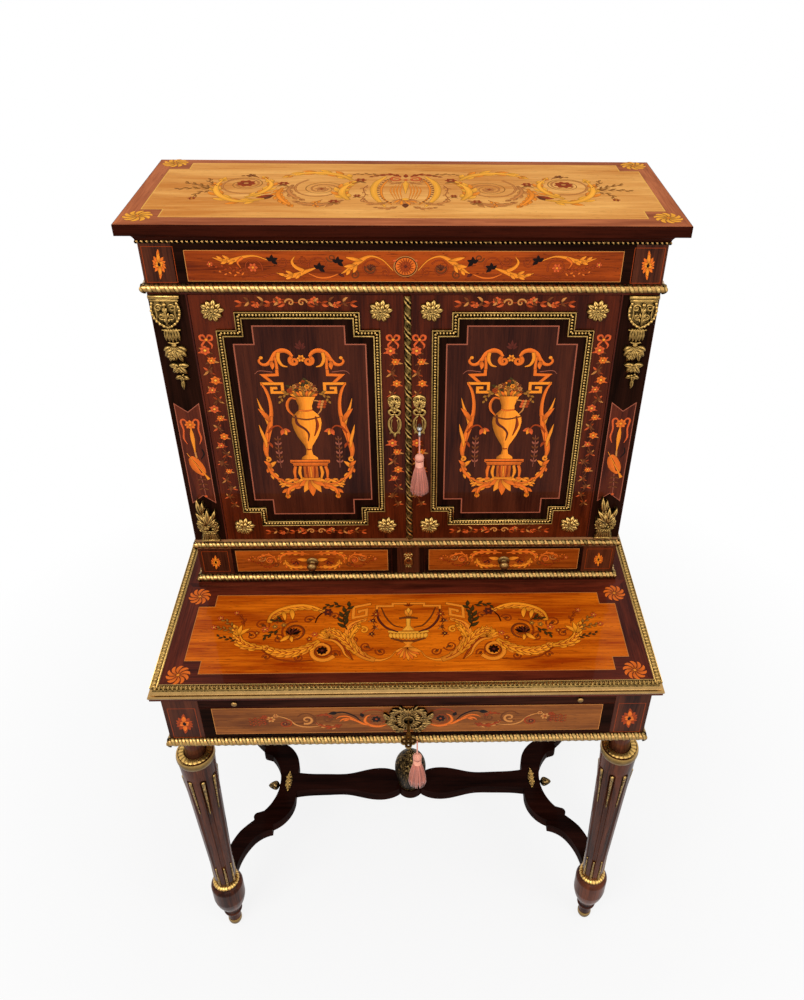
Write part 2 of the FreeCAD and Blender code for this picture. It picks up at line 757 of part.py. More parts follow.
def build_drawer_row():
    """Blocks, partition and guides round the two small drawers, and the lock of the middle block."""
    half_centre = centre_block_width / 2
    end_inner = half_cabinet - end_block_width
    end = box(-half_cabinet, -end_inner, cabinet_front, board_front, floor_top, waist_rail_bottom)
    centre = box(-half_centre, half_centre, cabinet_front, board_front, floor_top, waist_rail_bottom)
    half_partition = partition_board / 2
    partition = box(-half_partition, half_partition, board_front, -back_board, floor_top, waist_rail_bottom)
    key_height = (floor_top + waist_rail_bottom) / 2
    keyhole = cylinder(key_hole_radius, V(0, cabinet_front, key_height), V(0, 1, 0), front_board)
    case = box(-case_width / 2, case_width / 2, board_front - case_thickness, board_front,
               key_height - case_below_key, key_height + case_below_key)
    export("drawer_row_blocks", both_sides([end]) + [centre.cut([keyhole, case]), partition])
    export("centre_lock", [case.cut(keyhole)])
    guide_top = floor_top + guide_height
    outer = box(-end_inner - guide_width, -end_inner + small_box_clear, board_front, -back_board,
                floor_top, guide_top)
    inner = box(-half_centre - small_box_clear, -half_centre + guide_width, board_front, -back_board,
                floor_top, guide_top)
    export("drawer_guides", both_sides([outer, inner]))
    middle = V(0, cabinet_front, key_height)
    centre_plate = escutcheon(centre_plate_width, centre_plate_height, centre_plate_thickness, middle, middle)
    export("centre_escutcheon", [centre_plate])


# Cornice and gilt mouldings of the cupboard
def build_cornice():
    half = half_cabinet + cornice_overhang_side
    slab = box(-half, half, cabinet_front - cornice_overhang_front, 0, cornice_bottom, cornice_top)
    middle = (cove_lip + (cove_reach - cove_lip) * cove_share, cornice_bottom - top_board * cove_share)
    steps = [(cove_lip, carcass_top), [middle, (cove_reach, cornice_bottom)], (0, cornice_bottom)]
    cove = moulding(three_sides(half_cabinet, cabinet_front), (0, carcass_top), steps, False, level)
    export("cornice", [slab] + cove)


def build_cabinet_mouldings():
    line = three_sides(half_cabinet, cabinet_front)
    bands = [(frieze_bottom + frieze_moulding_rise, frieze_moulding_height, frieze_moulding_depth),
             (waist_rail_bottom + waist_moulding_rise, waist_moulding_height, waist_moulding_depth),
             (table_height, base_moulding_height, base_moulding_depth),
             (carcass_top - bead_height, bead_height, bead_depth)]
    pieces = []
    for bottom, height, depth in bands:
        start, steps = half_round(bottom, height, depth)
        pieces.extend(moulding(line, start, steps, False, level))
    export("cabinet_mouldings", pieces)


# Mounts on the pilasters
def relief(shares, half_width, height, centre_x, foot, depth):
    """Flat gilt mount on the cupboard's front. The shares give its right half, from the foot up."""
    right = scaled(shares, half_width, height)
    left = [(-a, b) for a, b in reversed(right)]
    across = [left[0]] if left[0][0] < 0 else []

    def place(a, b):
        return V(centre_x + a, cabinet_front, foot + b)

    return plate(right[0], [right[1:]] + across + [left[1:]], place, V(0, -depth, 0))


def build_pilaster_mounts():
    centre = -half_cabinet + pilaster_width / 2
    x = centre - capital_shift
    half = capital_width / 2
    tip = frieze_bottom - capital_height
    bell_height = capital_height - abacus_height
    bell = relief(capital_shares, half, bell_height, x, tip, capital_depth)
    abacus = box(x - half, x + half, cabinet_front - abacus_depth, cabinet_front,
                 frieze_bottom - abacus_height, frieze_bottom)
    export("capitals", both_sides([joined([bell, abacus])]))
    x = centre - drop_shift
    foot = tip - cup_height - drop_height
    drop = relief(drop_shares, drop_width / 2, drop_height + cup_height, x, foot, drop_depth)
    export("flower_drops", both_sides([drop.cut(bell)]))
    basket = relief(basket_shares, basket_width / 2, basket_height, centre, waist_rail_top, basket_depth)
    export("flower_baskets", both_sides([basket]))


def escutcheon(width, height, thickness, centre, keyhole):
    """Shaped key plate round a centre point, on a face that looks to the front."""
    half_width = width / 2
    half_height = height / 2

    def place(a, b):
        return centre + V(a, 0, b)

    steps = scaled(escutcheon_shares, half_width, half_height)
    shape = plate((0, half_height), steps, place, V(0, -thickness, 0))
    return shape.cut(cylinder(key_hole_radius, keyhole, V(0, -1, 0), thickness))


# Locks and keys, drawn with the bolt upwards, the key's axis along Y at the origin and the face at Y zero
def lock_block(front, edge):
    """Outer block of a lock case. Its front lies a given depth behind the face, and its top at the edge."""
    return box(-case_width / 2, case_width / 2, front, front + case_thickness, -case_below_key, edge)


def bolt_space(front, top, play):
    """Bolt from its inner end up to a given height, or the slot for it with some play."""
    middle = front + case_thickness / 2
    half_width = bolt_width / 2 + play
    half_thickness = bolt_thickness / 2 + play
    return box(-half_width, half_width, middle - half_thickness, middle + half_thickness,
               bolt_start - play, top)


def make_lock(front, edge):
    """Hollow case with a bore for the key and a slot for the bolt."""
    half_inside = case_width / 2 - case_wall
    hollow = box(-half_inside, half_inside, front + case_wall, front + case_thickness - case_wall,
                 -case_below_key + case_wall, edge - case_wall)
    bore = cylinder(key_shaft_radius + spindle_play, V(0, front, 0), V(0, 1, 0), case_wall)
    return lock_block(front, edge).cut([hollow, bore, bolt_space(front, edge, bolt_play)])


def key_passage(front):
    return cylinder(key_hole_radius, V(0, 0, 0), V(0, 1, 0), front)


def make_key(reach, bow_radius, front):
    """Key with a level bow of three pierced lobes. The bow's middle lies at the given reach from the face."""
    inner = front + case_thickness / 2
    lobe = bow_radius * bow_lobe_share
    spread = bow_radius - lobe
    neck = spread - reach
    shaft = cylinder(key_shaft_radius, V(0, neck, 0), V(0, 1, 0), inner - neck)
    bit = box(-key_bit_width / 2, key_bit_width / 2, inner - key_bit_depth, inner, -key_bit_reach, 0)
    collar = cylinder(key_collar_radius, V(0, neck + lobe, 0), V(0, 1, 0), key_collar_length)
    rise = V(0, 0, bow_thickness)
    foot = rise * (-1 / 2)
    centres = [V(-spread, -reach, 0), V(spread, -reach, 0), V(0, -reach - spread, 0)]
    discs = [cylinder(lobe, spot + foot, rise, bow_thickness) for spot in centres + [V(0, neck, 0)]]
    holes = [cylinder(bow_hole_radius, spot + foot, rise, bow_thickness) for spot in centres]
    return joined([shaft, bit, collar] + discs).cut(holes)


def placed(shape, angle, keyhole):
    """Lock piece turned about the key's axis and put at its keyhole."""
    copy = shape.copy()
    copy.rotate(V(0, 0, 0), V(0, 1, 0), angle)
    return moved(copy, keyhole)


def build_tassel(name, top):
    """Cord that hangs from a point, and the tassel at its end: head, neck and spreading skirt."""
    foot = top - V(0, 0, cord_length)
    export(name + "_key_cord", [cylinder(cord_radius, foot, V(0, 0, 1), cord_length)])
    head_low = -tassel_head_radius * 2
    neck_low = head_low - tassel_neck_height
    skirt_low = neck_low - tassel_skirt_length
    skirt_middle = (tassel_neck_radius + tassel_skirt_radius) / 2 + tassel_swell
    steps = [(cord_radius, 0),
             [(tassel_head_radius, -tassel_head_radius), (tassel_neck_radius, head_low)],
             (tassel_neck_radius, neck_low),
             [(skirt_middle, (neck_low + skirt_low) / 2), (tassel_skirt_radius, skirt_low)],
             (0, skirt_low)]
    export(name + "_key_tassel", [turned((0, 0), steps, foot)])
    print(name, "cord: length", cord_length, "from", tuple(top - V(0, origin_y, 0)), "straight, no bends")


# Doors
def make_door(left_edge, right_edge, hinge):
    """Door slab between two X values, its hinge edge rounded about the pivot."""
    slab = box(left_edge, right_edge, cabinet_front, cabinet_front + door_thickness, door_bottom, door_top)
    outer = left_edge if hinge < 0 else right_edge
    corner = box(min(outer, hinge), max(outer, hinge), cabinet_front, hinge_y, door_bottom, door_top)
    rounding = cylinder(door_axis_inset, V(hinge, hinge_y, door_bottom), V(0, 0, 1), door_top - door_bottom)
    bore = pin_radius + spindle_play
    depth = pin_length + seat_gap
    holes = [cylinder(bore, V(hinge, hinge_y, door_bottom), V(0, 0, 1), depth),
             cylinder(bore, V(hinge, hinge_y, door_top), V(0, 0, -1), depth)]
    return slab.cut(corner.cut(rounding)).cut(holes)


def door_frame(centre):
    """Gilt frame moulding with stepped corners, its lengths mitred at every corner."""
    half_width = frame_width / 2
    half_height = frame_height / 2
    inner_x = half_width - frame_notch
    inner_z = half_height - frame_notch
    quarter = [(-half_width, inner_z), (-inner_x, inner_z), (-inner_x, half_height)]
    upper = quarter + [(-a, b) for a, b in reversed(quarter)]
    corners = upper + [(a, -b) for a, b in reversed(upper)]
    steps = scaled(frame_shares, frame_band, frame_thickness)

    def place(a, b, c):
        return V(centre + a, cabinet_front - c, frame_centre_height + b)

    return moulding(corners, (0, 0), steps, True, place)


def door_mounts(sign):
    """Corner rosettes and key plate of the left door, sign minus one, or of the right door, sign one."""
    steps = [(rosette_radius, 0), scaled(rosette_shares, rosette_radius, rosette_thickness)]
    columns = (sign * rosette_middle_margin, sign * (door_outer - rosette_side_margin))
    rows = (door_bottom + rosette_foot_margin, door_top - rosette_head_margin)
    spots = [V(x, cabinet_front, z) for x in columns for z in rows]
    pieces = [turned((0, 0), steps, spot, V(0, -1, 0)) for spot in spots]
    keyhole = V(sign * plate_offset, cabinet_front, door_key_height)
    middle = keyhole + V(0, 0, plate_rise)
    return pieces + [escutcheon(plate_width, plate_height, plate_thickness, middle, keyhole)]


def build_doors():
    left_edge = meeting_line - meeting_gap / 2
    right_edge = meeting_line + meeting_gap / 2
    left = make_door(-door_outer, left_edge, -hinge_x)
    right = make_door(right_edge, door_outer, hinge_x)
    keyhole = V(plate_offset, cabinet_front, door_key_height)
    front = door_thickness - case_thickness
    edge = plate_offset - right_edge
    sideways = -quarter_turn
    pocket = placed(lock_block(front, edge), sideways, keyhole)
    passage = placed(key_passage(front), 0, keyhole)
    mortise_end = edge + bolt_travel + bolt_play
    mortise = placed(bolt_space(front, mortise_end, bolt_play), sideways, keyhole)
    blind_hole = placed(key_passage(front), 0, V(-plate_offset, cabinet_front, door_key_height))
    export("left_door", [left.cut([mortise, blind_hole])])
    export("right_door", [right.cut([pocket, passage])])
    export("door_lock", [placed(make_lock(front, edge), sideways, keyhole)])
    export("door_bolt", [placed(bolt_space(front, edge - bolt_face_gap, 0), sideways, keyhole)])
    export("door_key", [placed(make_key(door_key_reach, door_bow_radius, front), quarter_turn, keyhole)])
    build_tassel("door", keyhole - V(0, door_key_reach, door_bow_radius + hang_gap))
    for name, sign in (("left", -1), ("right", 1)):
        export(name + "_door_frame", door_frame(sign * frame_centre))
        export(name + "_door_mounts", door_mounts(sign))
    astragal = plate((0, 0), [[(astragal_width / 2, astragal_thickness), (astragal_width, 0)]],
                     lambda a, b: V(right_edge + a, cabinet_front - b, door_bottom),
                     V(0, 0, door_top - door_bottom))
    export("door_astragal", [astragal])
    lower = door_pins(waist_rail_top - pin_length, pin_length + door_gap + pin_length)
    upper = door_pins(door_top - pin_length, pin_length + door_gap + pin_length)
    export("door_pins", lower + upper)


# Drawers and writing slide
def drawer_box(half_width, front, back, bottom, side_height, side, base):
    """Two sides, a back and a bottom, centred on X zero."""
    inside = half_width - side
    top = bottom + side_height
    return [box(-half_width, -inside, front, back, bottom, top),
            box(inside, half_width, front, back, bottom, top),
            box(-inside, inside, back - side, back, bottom, top),
            box(-inside, inside, front, back - side, bottom + base / 2, bottom + base * 3 / 2)]


def build_small_drawers():
    outer = half_cabinet - end_block_width - seat_gap
    inner = centre_block_width / 2 + seat_gap
    centre = V(-(outer + inner) / 2, cabinet_front, (floor_top + waist_rail_bottom) / 2 - small_knob_drop)
    bottom = floor_top + seat_gap
    back_of_front = cabinet_front + small_front_thickness
    front = box(-outer, -inner, cabinet_front, back_of_front, bottom, waist_rail_bottom - seat_gap)
    half_width = (outer - inner) / 2 - small_box_clear - seat_gap
    pieces = drawer_box(half_width, back_of_front, -small_back_space, bottom, small_side_height,
                        small_side_thickness, small_bottom_thickness)
    drawer = [front] + [moved(piece, V(centre.x, 0, 0)) for piece in pieces]
    steps = [(knob_rose_radius, 0), scaled(knob_shares, knob_head_radius, knob_length)]
    knob = turned((0, 0), steps, centre, V(0, -1, 0))
    export("left_small_drawer", drawer)
    export("right_small_drawer", [mirror_x(piece) for piece in drawer])
    export("left_drawer_knob", [knob])
    export("right_drawer_knob", [mirror_x(knob)])


def build_long_drawer():
    half = block_inner - seat_gap
    back_of_front = apron_front + drawer_front_thickness
    shoulder = drawer_front_top - drawer_lip_height
    front = box(-half, half, apron_front, back_of_front, drawer_front_bottom, drawer_front_top)
    rebate = box(-half, half, apron_front + drawer_lip_thickness, back_of_front, shoulder, drawer_front_top)
    keyhole = V(0, apron_front, drawer_key_height)
    edge = shoulder - drawer_key_height
    pocket = moved(lock_block(drawer_lock_depth, edge), keyhole)
    passage = moved(key_passage(drawer_lock_depth), keyhole)
    export("long_drawer_front", [front.cut([rebate, pocket, passage])])
    export("drawer_lock", [moved(make_lock(drawer_lock_depth, edge), keyhole)])
    export("drawer_bolt", [moved(bolt_space(drawer_lock_depth, edge - bolt_face_gap, 0), keyhole)])
    export("drawer_key", [moved(make_key(drawer_key_reach, drawer_bow_radius, drawer_lock_depth), keyhole)])
    build_tassel("drawer", keyhole + V(drawer_bow_radius + cord_radius + hang_gap, -drawer_key_reach, 0))
    pieces = drawer_box(drawer_side, back_of_front, -drawer_back_space, drawer_front_bottom,
                        drawer_side_height, drawer_side_thickness, drawer_bottom_thickness)
    export("long_drawer_box", pieces)
    steps = scaled(drawer_plate_shares, drawer_plate_width / 2, drawer_plate_height / 2)
    middle = keyhole + V(0, 0, drawer_plate_rise)
    shield = plate((0, drawer_plate_height / 2), steps, lambda a, b: middle + V(a, 0, b),
                   V(0, -drawer_plate_thickness, 0))
    hole = cylinder(key_hole_radius, keyhole, V(0, -1, 0), drawer_plate_thickness)
    export("long_drawer_escutcheon", [shield.cut(hole)])


def build_writing_slide():
    half = block_inner - seat_gap
    bottom = drawer_front_top + seat_gap * 2
    top = table_underside - seat_gap
    board_top = bottom + slide_board_thickness
    rail_back = apron_front + slide_rail_thickness
    rail = box(-half, half, apron_front, rail_back, bottom, top)
    board = box(-drawer_side, drawer_side, rail_back, -slide_back_space, bottom, board_top)
    export("slide_board", [rail, board])
    inset = drawer_side - leather_margin
    leather_front = rail_back + leather_margin
    export("slide_leather", [box(-inset, inset, leather_front, leather_front + leather_depth,
                                 board_top, board_top + leather_thickness)])
    centre = V(slide_knob_margin - half, apron_front, (bottom + top) / 2)
    steps = [(slide_knob_neck_radius, 0), (slide_knob_neck_radius, slide_knob_neck_length),
             scaled(slide_knob_shares, slide_knob_radius, slide_knob_length)]
    export("slide_knobs", both_sides([turned((0, 0), steps, centre, V(0, -1, 0))]))


build_legs()
build_side_stretchers()
build_cross_stretcher()
build_stretcher_mounts()
build_apron()
build_runners()
build_table_top()
build_cupboard()
build_drawer_row()
build_cornice()
build_cabinet_mouldings()
build_pilaster_mounts()
build_doors()
build_small_drawers()
build_long_drawer()
build_writing_slide()
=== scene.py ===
import math
import random
from collections import namedtuple

import bpy
from bpy.props import FloatProperty, FloatVectorProperty, IntProperty, PointerProperty
from mathutils import Color, Matrix, Vector


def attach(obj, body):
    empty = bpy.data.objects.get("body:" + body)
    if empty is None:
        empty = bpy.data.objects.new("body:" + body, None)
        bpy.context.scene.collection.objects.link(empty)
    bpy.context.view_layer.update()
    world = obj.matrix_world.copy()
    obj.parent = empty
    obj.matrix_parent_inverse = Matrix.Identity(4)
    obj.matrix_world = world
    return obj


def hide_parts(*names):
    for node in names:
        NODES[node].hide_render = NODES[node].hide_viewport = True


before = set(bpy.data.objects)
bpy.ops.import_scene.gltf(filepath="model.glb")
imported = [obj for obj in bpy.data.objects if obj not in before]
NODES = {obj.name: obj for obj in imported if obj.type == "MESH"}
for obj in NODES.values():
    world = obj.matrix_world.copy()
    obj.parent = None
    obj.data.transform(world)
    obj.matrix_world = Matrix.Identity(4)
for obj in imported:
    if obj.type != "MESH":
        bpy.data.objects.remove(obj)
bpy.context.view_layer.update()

bl_info = {
    "name": "Marquetry Writing Desk",
    "version": (1, 0, 0),
    "blender": (4, 5, 0),
    "location": "3D View > Sidebar > Desk",
    "description": "Dresses a lady's writing desk in marquetry, gilt mounts, polished wood and silk",
    "category": "Object",
}

MM = 0.001
TAU = math.tau


def colour(red, green, blue):
    """Linear colour from an 8-bit screen colour."""
    shares = [value / 255 for value in (red, green, blue)]
    return tuple(s / 12.92 if s <= 0.04045 else ((s + 0.055) / 1.055) ** 2.4 for s in shares)


# Settings

class DeskSizes(bpy.types.PropertyGroup):
    """Sizes that the dressing of the desk takes beside those of the frame."""

    veneer: FloatProperty(name="Veneer", description="How far the veneer stands on the solid wood",
                          default=0.00012, unit="LENGTH")
    layer: FloatProperty(name="Layer", description="Height between two pieces of inlay",
                         default=0.000006, unit="LENGTH")
    outline: FloatProperty(name="Outline", default=1.0, min=0.0,
                           description="Width of the burnt edge round an inlay, as a share of the usual")
    threads: IntProperty(name="Threads", description="Threads in the skirt of each tassel", default=150, min=12)


class DeskColours(bpy.types.PropertyGroup):
    """Colours of the finishes."""

    gold: FloatVectorProperty(name="Gold", description="Burnished gilding", subtype="COLOR", size=3,
                              default=colour(186, 148, 86))
    silk: FloatVectorProperty(name="Silk", description="Thread of the tassels", subtype="COLOR", size=3,
                              default=colour(214, 132, 110))
    leather: FloatVectorProperty(name="Leather", description="Lining of the writing slide", subtype="COLOR",
                                 size=3, default=colour(96, 34, 22))
    floor: FloatVectorProperty(name="Floor", description="Studio floor", subtype="COLOR", size=3,
                               default=(0.86, 0.86, 0.86))


# Shader trees

class Wire:
    """A socket of a material's tree. Arithmetic on it adds Math nodes."""

    def __init__(self, tree, socket=None):
        self.tree = tree
        self.socket = socket

    def node(self, kind, settings=None, inputs=None, output=0):
        """Adds a node with its settings, then its inputs as values or links, and returns one output."""
        made = self.tree.nodes.new(kind)
        for key, value in (settings or {}).items():
            setattr(made, key, value)
        for key, value in (inputs or {}).items():
            if isinstance(value, Wire):
                self.tree.links.new(value.socket, made.inputs[key])
            else:
                made.inputs[key].default_value = value
        return Wire(self.tree, made.outputs[output])

    def maths(self, operation, *values):
        return self.node("ShaderNodeMath", {"operation": operation}, dict(enumerate(values)))

    def __add__(self, other):
        return self.maths("ADD", self, other)

    __radd__ = __add__

    def __sub__(self, other):
        return self.maths("SUBTRACT", self, other)

    def __rsub__(self, other):
        return self.maths("SUBTRACT", other, self)

    def __mul__(self, other):
        return self.maths("MULTIPLY", self, other)

    __rmul__ = __mul__

    def between(self, low, high, first=0.0, last=1.0):
        """Value mapped from one span to another and held inside it."""
        return self.node("ShaderNodeMapRange", {}, {0: self, 1: low, 2: high, 3: first, 4: last})

    def mix(self, first, second):
        """Colour between two colours, by this factor."""
        shades = {6: first, 7: second}
        ready = {key: value if isinstance(value, Wire) else (*value, 1) for key, value in shades.items()}
        return self.node("ShaderNodeMix", {"data_type": "RGBA"}, {0: self, **ready}, 2)

    def tinted(self, shade):
        """This colour multiplied by another."""
        return self.node("ShaderNodeMix", {"data_type": "RGBA", "blend_type": "MULTIPLY"},
                         {0: 1.0, 6: self, 7: shade}, 2)

    def show(self, kind="ShaderNodeOutputMaterial"):
        """Links this shader to the output of its tree."""
        output = self.tree.nodes.new(kind)
        self.tree.links.new(self.socket, output.inputs[0])

    def scaled(self, factors):
        return self.node("ShaderNodeVectorMath", {"operation": "MULTIPLY"}, {0: self, 1: factors})

    def node_z(self):
        """Upward part of a direction."""
        return self.node("ShaderNodeSeparateXYZ", {}, {0: self}, 2)

    def noise(self, scale, detail=3.0, roughness=0.5, warp=0.0):
        return self.node("ShaderNodeTexNoise", {}, {"Vector": self, "Scale": scale, "Detail": detail,
                                                    "Roughness": roughness, "Distortion": warp})


def new_material(name):
    """Empty material, and a wire on its tree."""
    material = bpy.data.materials.new(name)
    material.use_nodes = True
    material.node_tree.nodes.clear()
    return material, Wire(material.node_tree)


def surface(start, constants, varying):
    """Principled shader on the material's output. Constants are set on its sockets and what varies is linked."""
    start.node("ShaderNodeBsdfPrincipled", {}, {**constants, **varying}).show()


def bump(height, strength, distance):
    return height.node("ShaderNodeBump", {}, {"Height": height, "Strength": strength, "Distance": distance})


def object_place(start):
    return start.node("ShaderNodeTexCoord", {}, {}, 3)


def attribute(start, name, output=0):
    """What a mesh's points carry under a name."""
    return start.node("ShaderNodeAttribute", {"attribute_name": name}, {}, output)


def shaded(tone, share):
    """Colour made darker or lighter."""
    return [part * share for part in tone]


POLISH = {"Coat Weight": 0.32, "Coat Roughness": 0.04, "Coat IOR": 1.25, "Specular IOR Level": 0.03}
SATIN = {"Coat Weight": 0.12, "Coat Roughness": 0.08, "Coat IOR": 1.2, "Specular IOR Level": 0.0}
DULL = {"Coat Weight": 0.05, "Specular IOR Level": 0.3}
ALONG = {"x": (1, 0, 0), "y": (0, 1, 0), "z": (0, 0, 1)}


def stretched(place, axis, share):
    """Coordinates that run slowly along the grain."""
    return place.scaled([share if part else 1 for part in ALONG[axis]])


def wood(name, dark, light, axis, flecks, figure, constants=POLISH, painted_groove_shade=False):
    """Polished veneer: broad figure, fine fibre, short dark dashes and pores along one axis, with painted shade in
    the grooves if asked.
    """
    material, start = new_material(name)
    dark, light = colour(*dark), colour(*light)
    place = object_place(start)
    broad = stretched(place, axis, 0.12).noise(figure, 4.0, 0.6, 0.6)
    fibre = stretched(place, axis, 0.03).noise(420.0, 4.0, 0.65)
    patch = stretched(place, axis, 0.5).noise(6.0, 3.0)
    pores = stretched(place, axis, 0.05).noise(900.0, 2.0).between(0.63, 0.72, 0.0, flecks)
    dashes = stretched(place, axis, 0.16).noise(620.0, 1.0).between(0.7, 0.74, 0.0, flecks)
    shade = (broad * 0.5 + fibre * 0.3 + patch * 0.2).between(0.4, 0.6).mix(dark, light)
    shade = pores.maths("MAXIMUM", pores, dashes).mix(shade, shaded(dark, 0.3))
    # Painted shade: the grooves of a fluted piece are darkened where the mesh's pointiness is low.
    if painted_groove_shade:
        hollow = start.node("ShaderNodeNewGeometry", {}, {}, 7).between(0.43, 0.52)
        shade = hollow.mix(shaded(dark, 0.2), shade)
    rough = fibre.between(0.2, 0.8, 0.26, 0.4)
    relief = bump(fibre - pores, 0.12, 0.0002)
    surface(start, constants, {"Base Color": shade, "Roughness": rough, "Normal": relief})
    return material


def inlay_material(name, constants):
    """Cut veneers of an ornament: each piece has its own tint, shaded by hot sand, and its own grain."""
    material, start = new_material(name)
    fibre = attribute(start, "run", 1).scaled((0.05, 0.9, 1.0)).noise(2.2, 4.0, 0.65)
    pores = object_place(start).noise(1400.0, 1.0).between(0.66, 0.74, 0.0, 0.35)
    shade = attribute(start, "tint").tinted(fibre.between(0.25, 0.75).mix((0.8, 0.7, 0.6), (1.2, 1.2, 1.16)))
    shade = pores.mix(shade, (0.03, 0.012, 0.006))
    rough = fibre.between(0.2, 0.8, 0.26, 0.4)
    surface(start, constants, {"Base Color": shade, "Roughness": rough, "Normal": bump(fibre, 0.08, 0.0002)})
    return material


def gilt_material(name, gold, recess, low=0.22, high=0.5, grime=0.5, cast=False, cells=90.0, base=0.0):
    """Chased and gilded bronze with cloudy wear, painted shade in its hollows and painted highlights on its edges,
    faces turned up painted lighter. A casting's points say where its painted shade and highlights go.
    """
    material, start = new_material(name)
    gold = gold if isinstance(gold, Color) else colour(*gold)
    place = object_place(start)
    cloud = place.noise(cells, 4.0, 0.6)
    chasing = place.noise(900.0, 3.0, 0.6)
    edge = start.node("ShaderNodeNewGeometry", {}, {}, 7)
    # Painted light: faces turned up are lighter, faces turned down darker.
    painted_top_light = start.node("ShaderNodeNewGeometry", {}, {}, 1).node_z().between(-0.7, 0.75, 0.35, 1.0)
    # Painted shade in the hollows and painted highlight on the edges, from the mesh's pointiness.
    worn = edge.between(0.452, 0.562)
    if cast:
        # A casting's tint carries the painted shade and highlights laid on its points.
        tint = attribute(start, "tint", 2)
        worn = tint * tint + (worn - 0.5) * 0.5
    # The cloudy noise is the metal's own wear; the rest is painted light.
    worn = (worn * painted_top_light + (cloud - 0.5) * grime + base).between(0.08, 1.0)
    shade = worn.mix(colour(*recess), gold)
    rough = worn.between(0.0, 1.0, high, low)
    surface(start, {"Metallic": 1.0, "Specular IOR Level": 0.5},
            {"Base Color": shade, "Roughness": rough, "Normal": bump(chasing, 0.25, 0.0003)})
    return material


def steel_material():
    material, start = new_material("steel")
    place = object_place(start)
    worn = place.noise(240.0, 4.0, 0.6)
    surface(start, {"Metallic": 1.0},
            {"Base Color": worn.between(0.3, 0.7).mix((0.2, 0.19, 0.18), (0.62, 0.61, 0.59)),
             "Roughness": worn.between(0.2, 0.8, 0.24, 0.5), "Normal": bump(worn, 0.2, 0.0002)})
    return material


def leather_material(tone):
    material, start = new_material("leather")
    place = object_place(start)
    cells = start.node("ShaderNodeTexVoronoi", {"feature": "DISTANCE_TO_EDGE"}, {"Vector": place, "Scale": 900.0})
    # Painted shade: the creases between the pebbles are darker.
    pebble = cells.between(0.0, 0.25)
    age = place.noise(12.0, 4.0, 0.6)
    shade = age.between(0.3, 0.7).mix(shaded(tone, 0.6), shaded(tone, 1.2))
    surface(start, {"Specular IOR Level": 0.4},
            {"Base Color": pebble.mix(shaded(tone, 0.45), shade),
             "Roughness": age.between(0.2, 0.8, 0.38, 0.6), "Normal": bump(pebble, 0.4, 0.0003)})
    return material


def silk_material():
    """Silk thread: the tint of each thread, twisted along its run."""
    material, start = new_material("silk")
    twist = attribute(start, "run", 1).scaled((1.2, 0.4, 1.0)).noise(3.0, 2.0)
    shade = attribute(start, "tint").tinted(twist.between(0.3, 0.7).mix((0.7, 0.66, 0.66), (1.15, 1.12, 1.1)))
    surface(start, {"Sheen Weight": 0.4, "Sheen Roughness": 0.35, "Specular IOR Level": 0.4},
            {"Base Color": shade, "Roughness": twist.between(0.2, 0.8, 0.42, 0.6),
             "Normal": bump(twist, 0.3, 0.0002)})
    return material


def cord_material(tone):
    material, start = new_material("cord_silk")
    place = object_place(start)
    strands = place.scaled((1.0, 1.0, 0.35)).noise(1500.0, 2.0)
    surface(start, {"Sheen Weight": 0.4, "Sheen Roughness": 0.35},
            {"Base Color": strands.between(0.3, 0.7).mix(shaded(tone, 0.62), tone),
             "Roughness": strands.between(0.2, 0.8, 0.45, 0.6), "Normal": bump(strands, 0.6, 0.0004)})
    return material


# Meshes

PLAIN = (1.0, 1.0, 1.0)


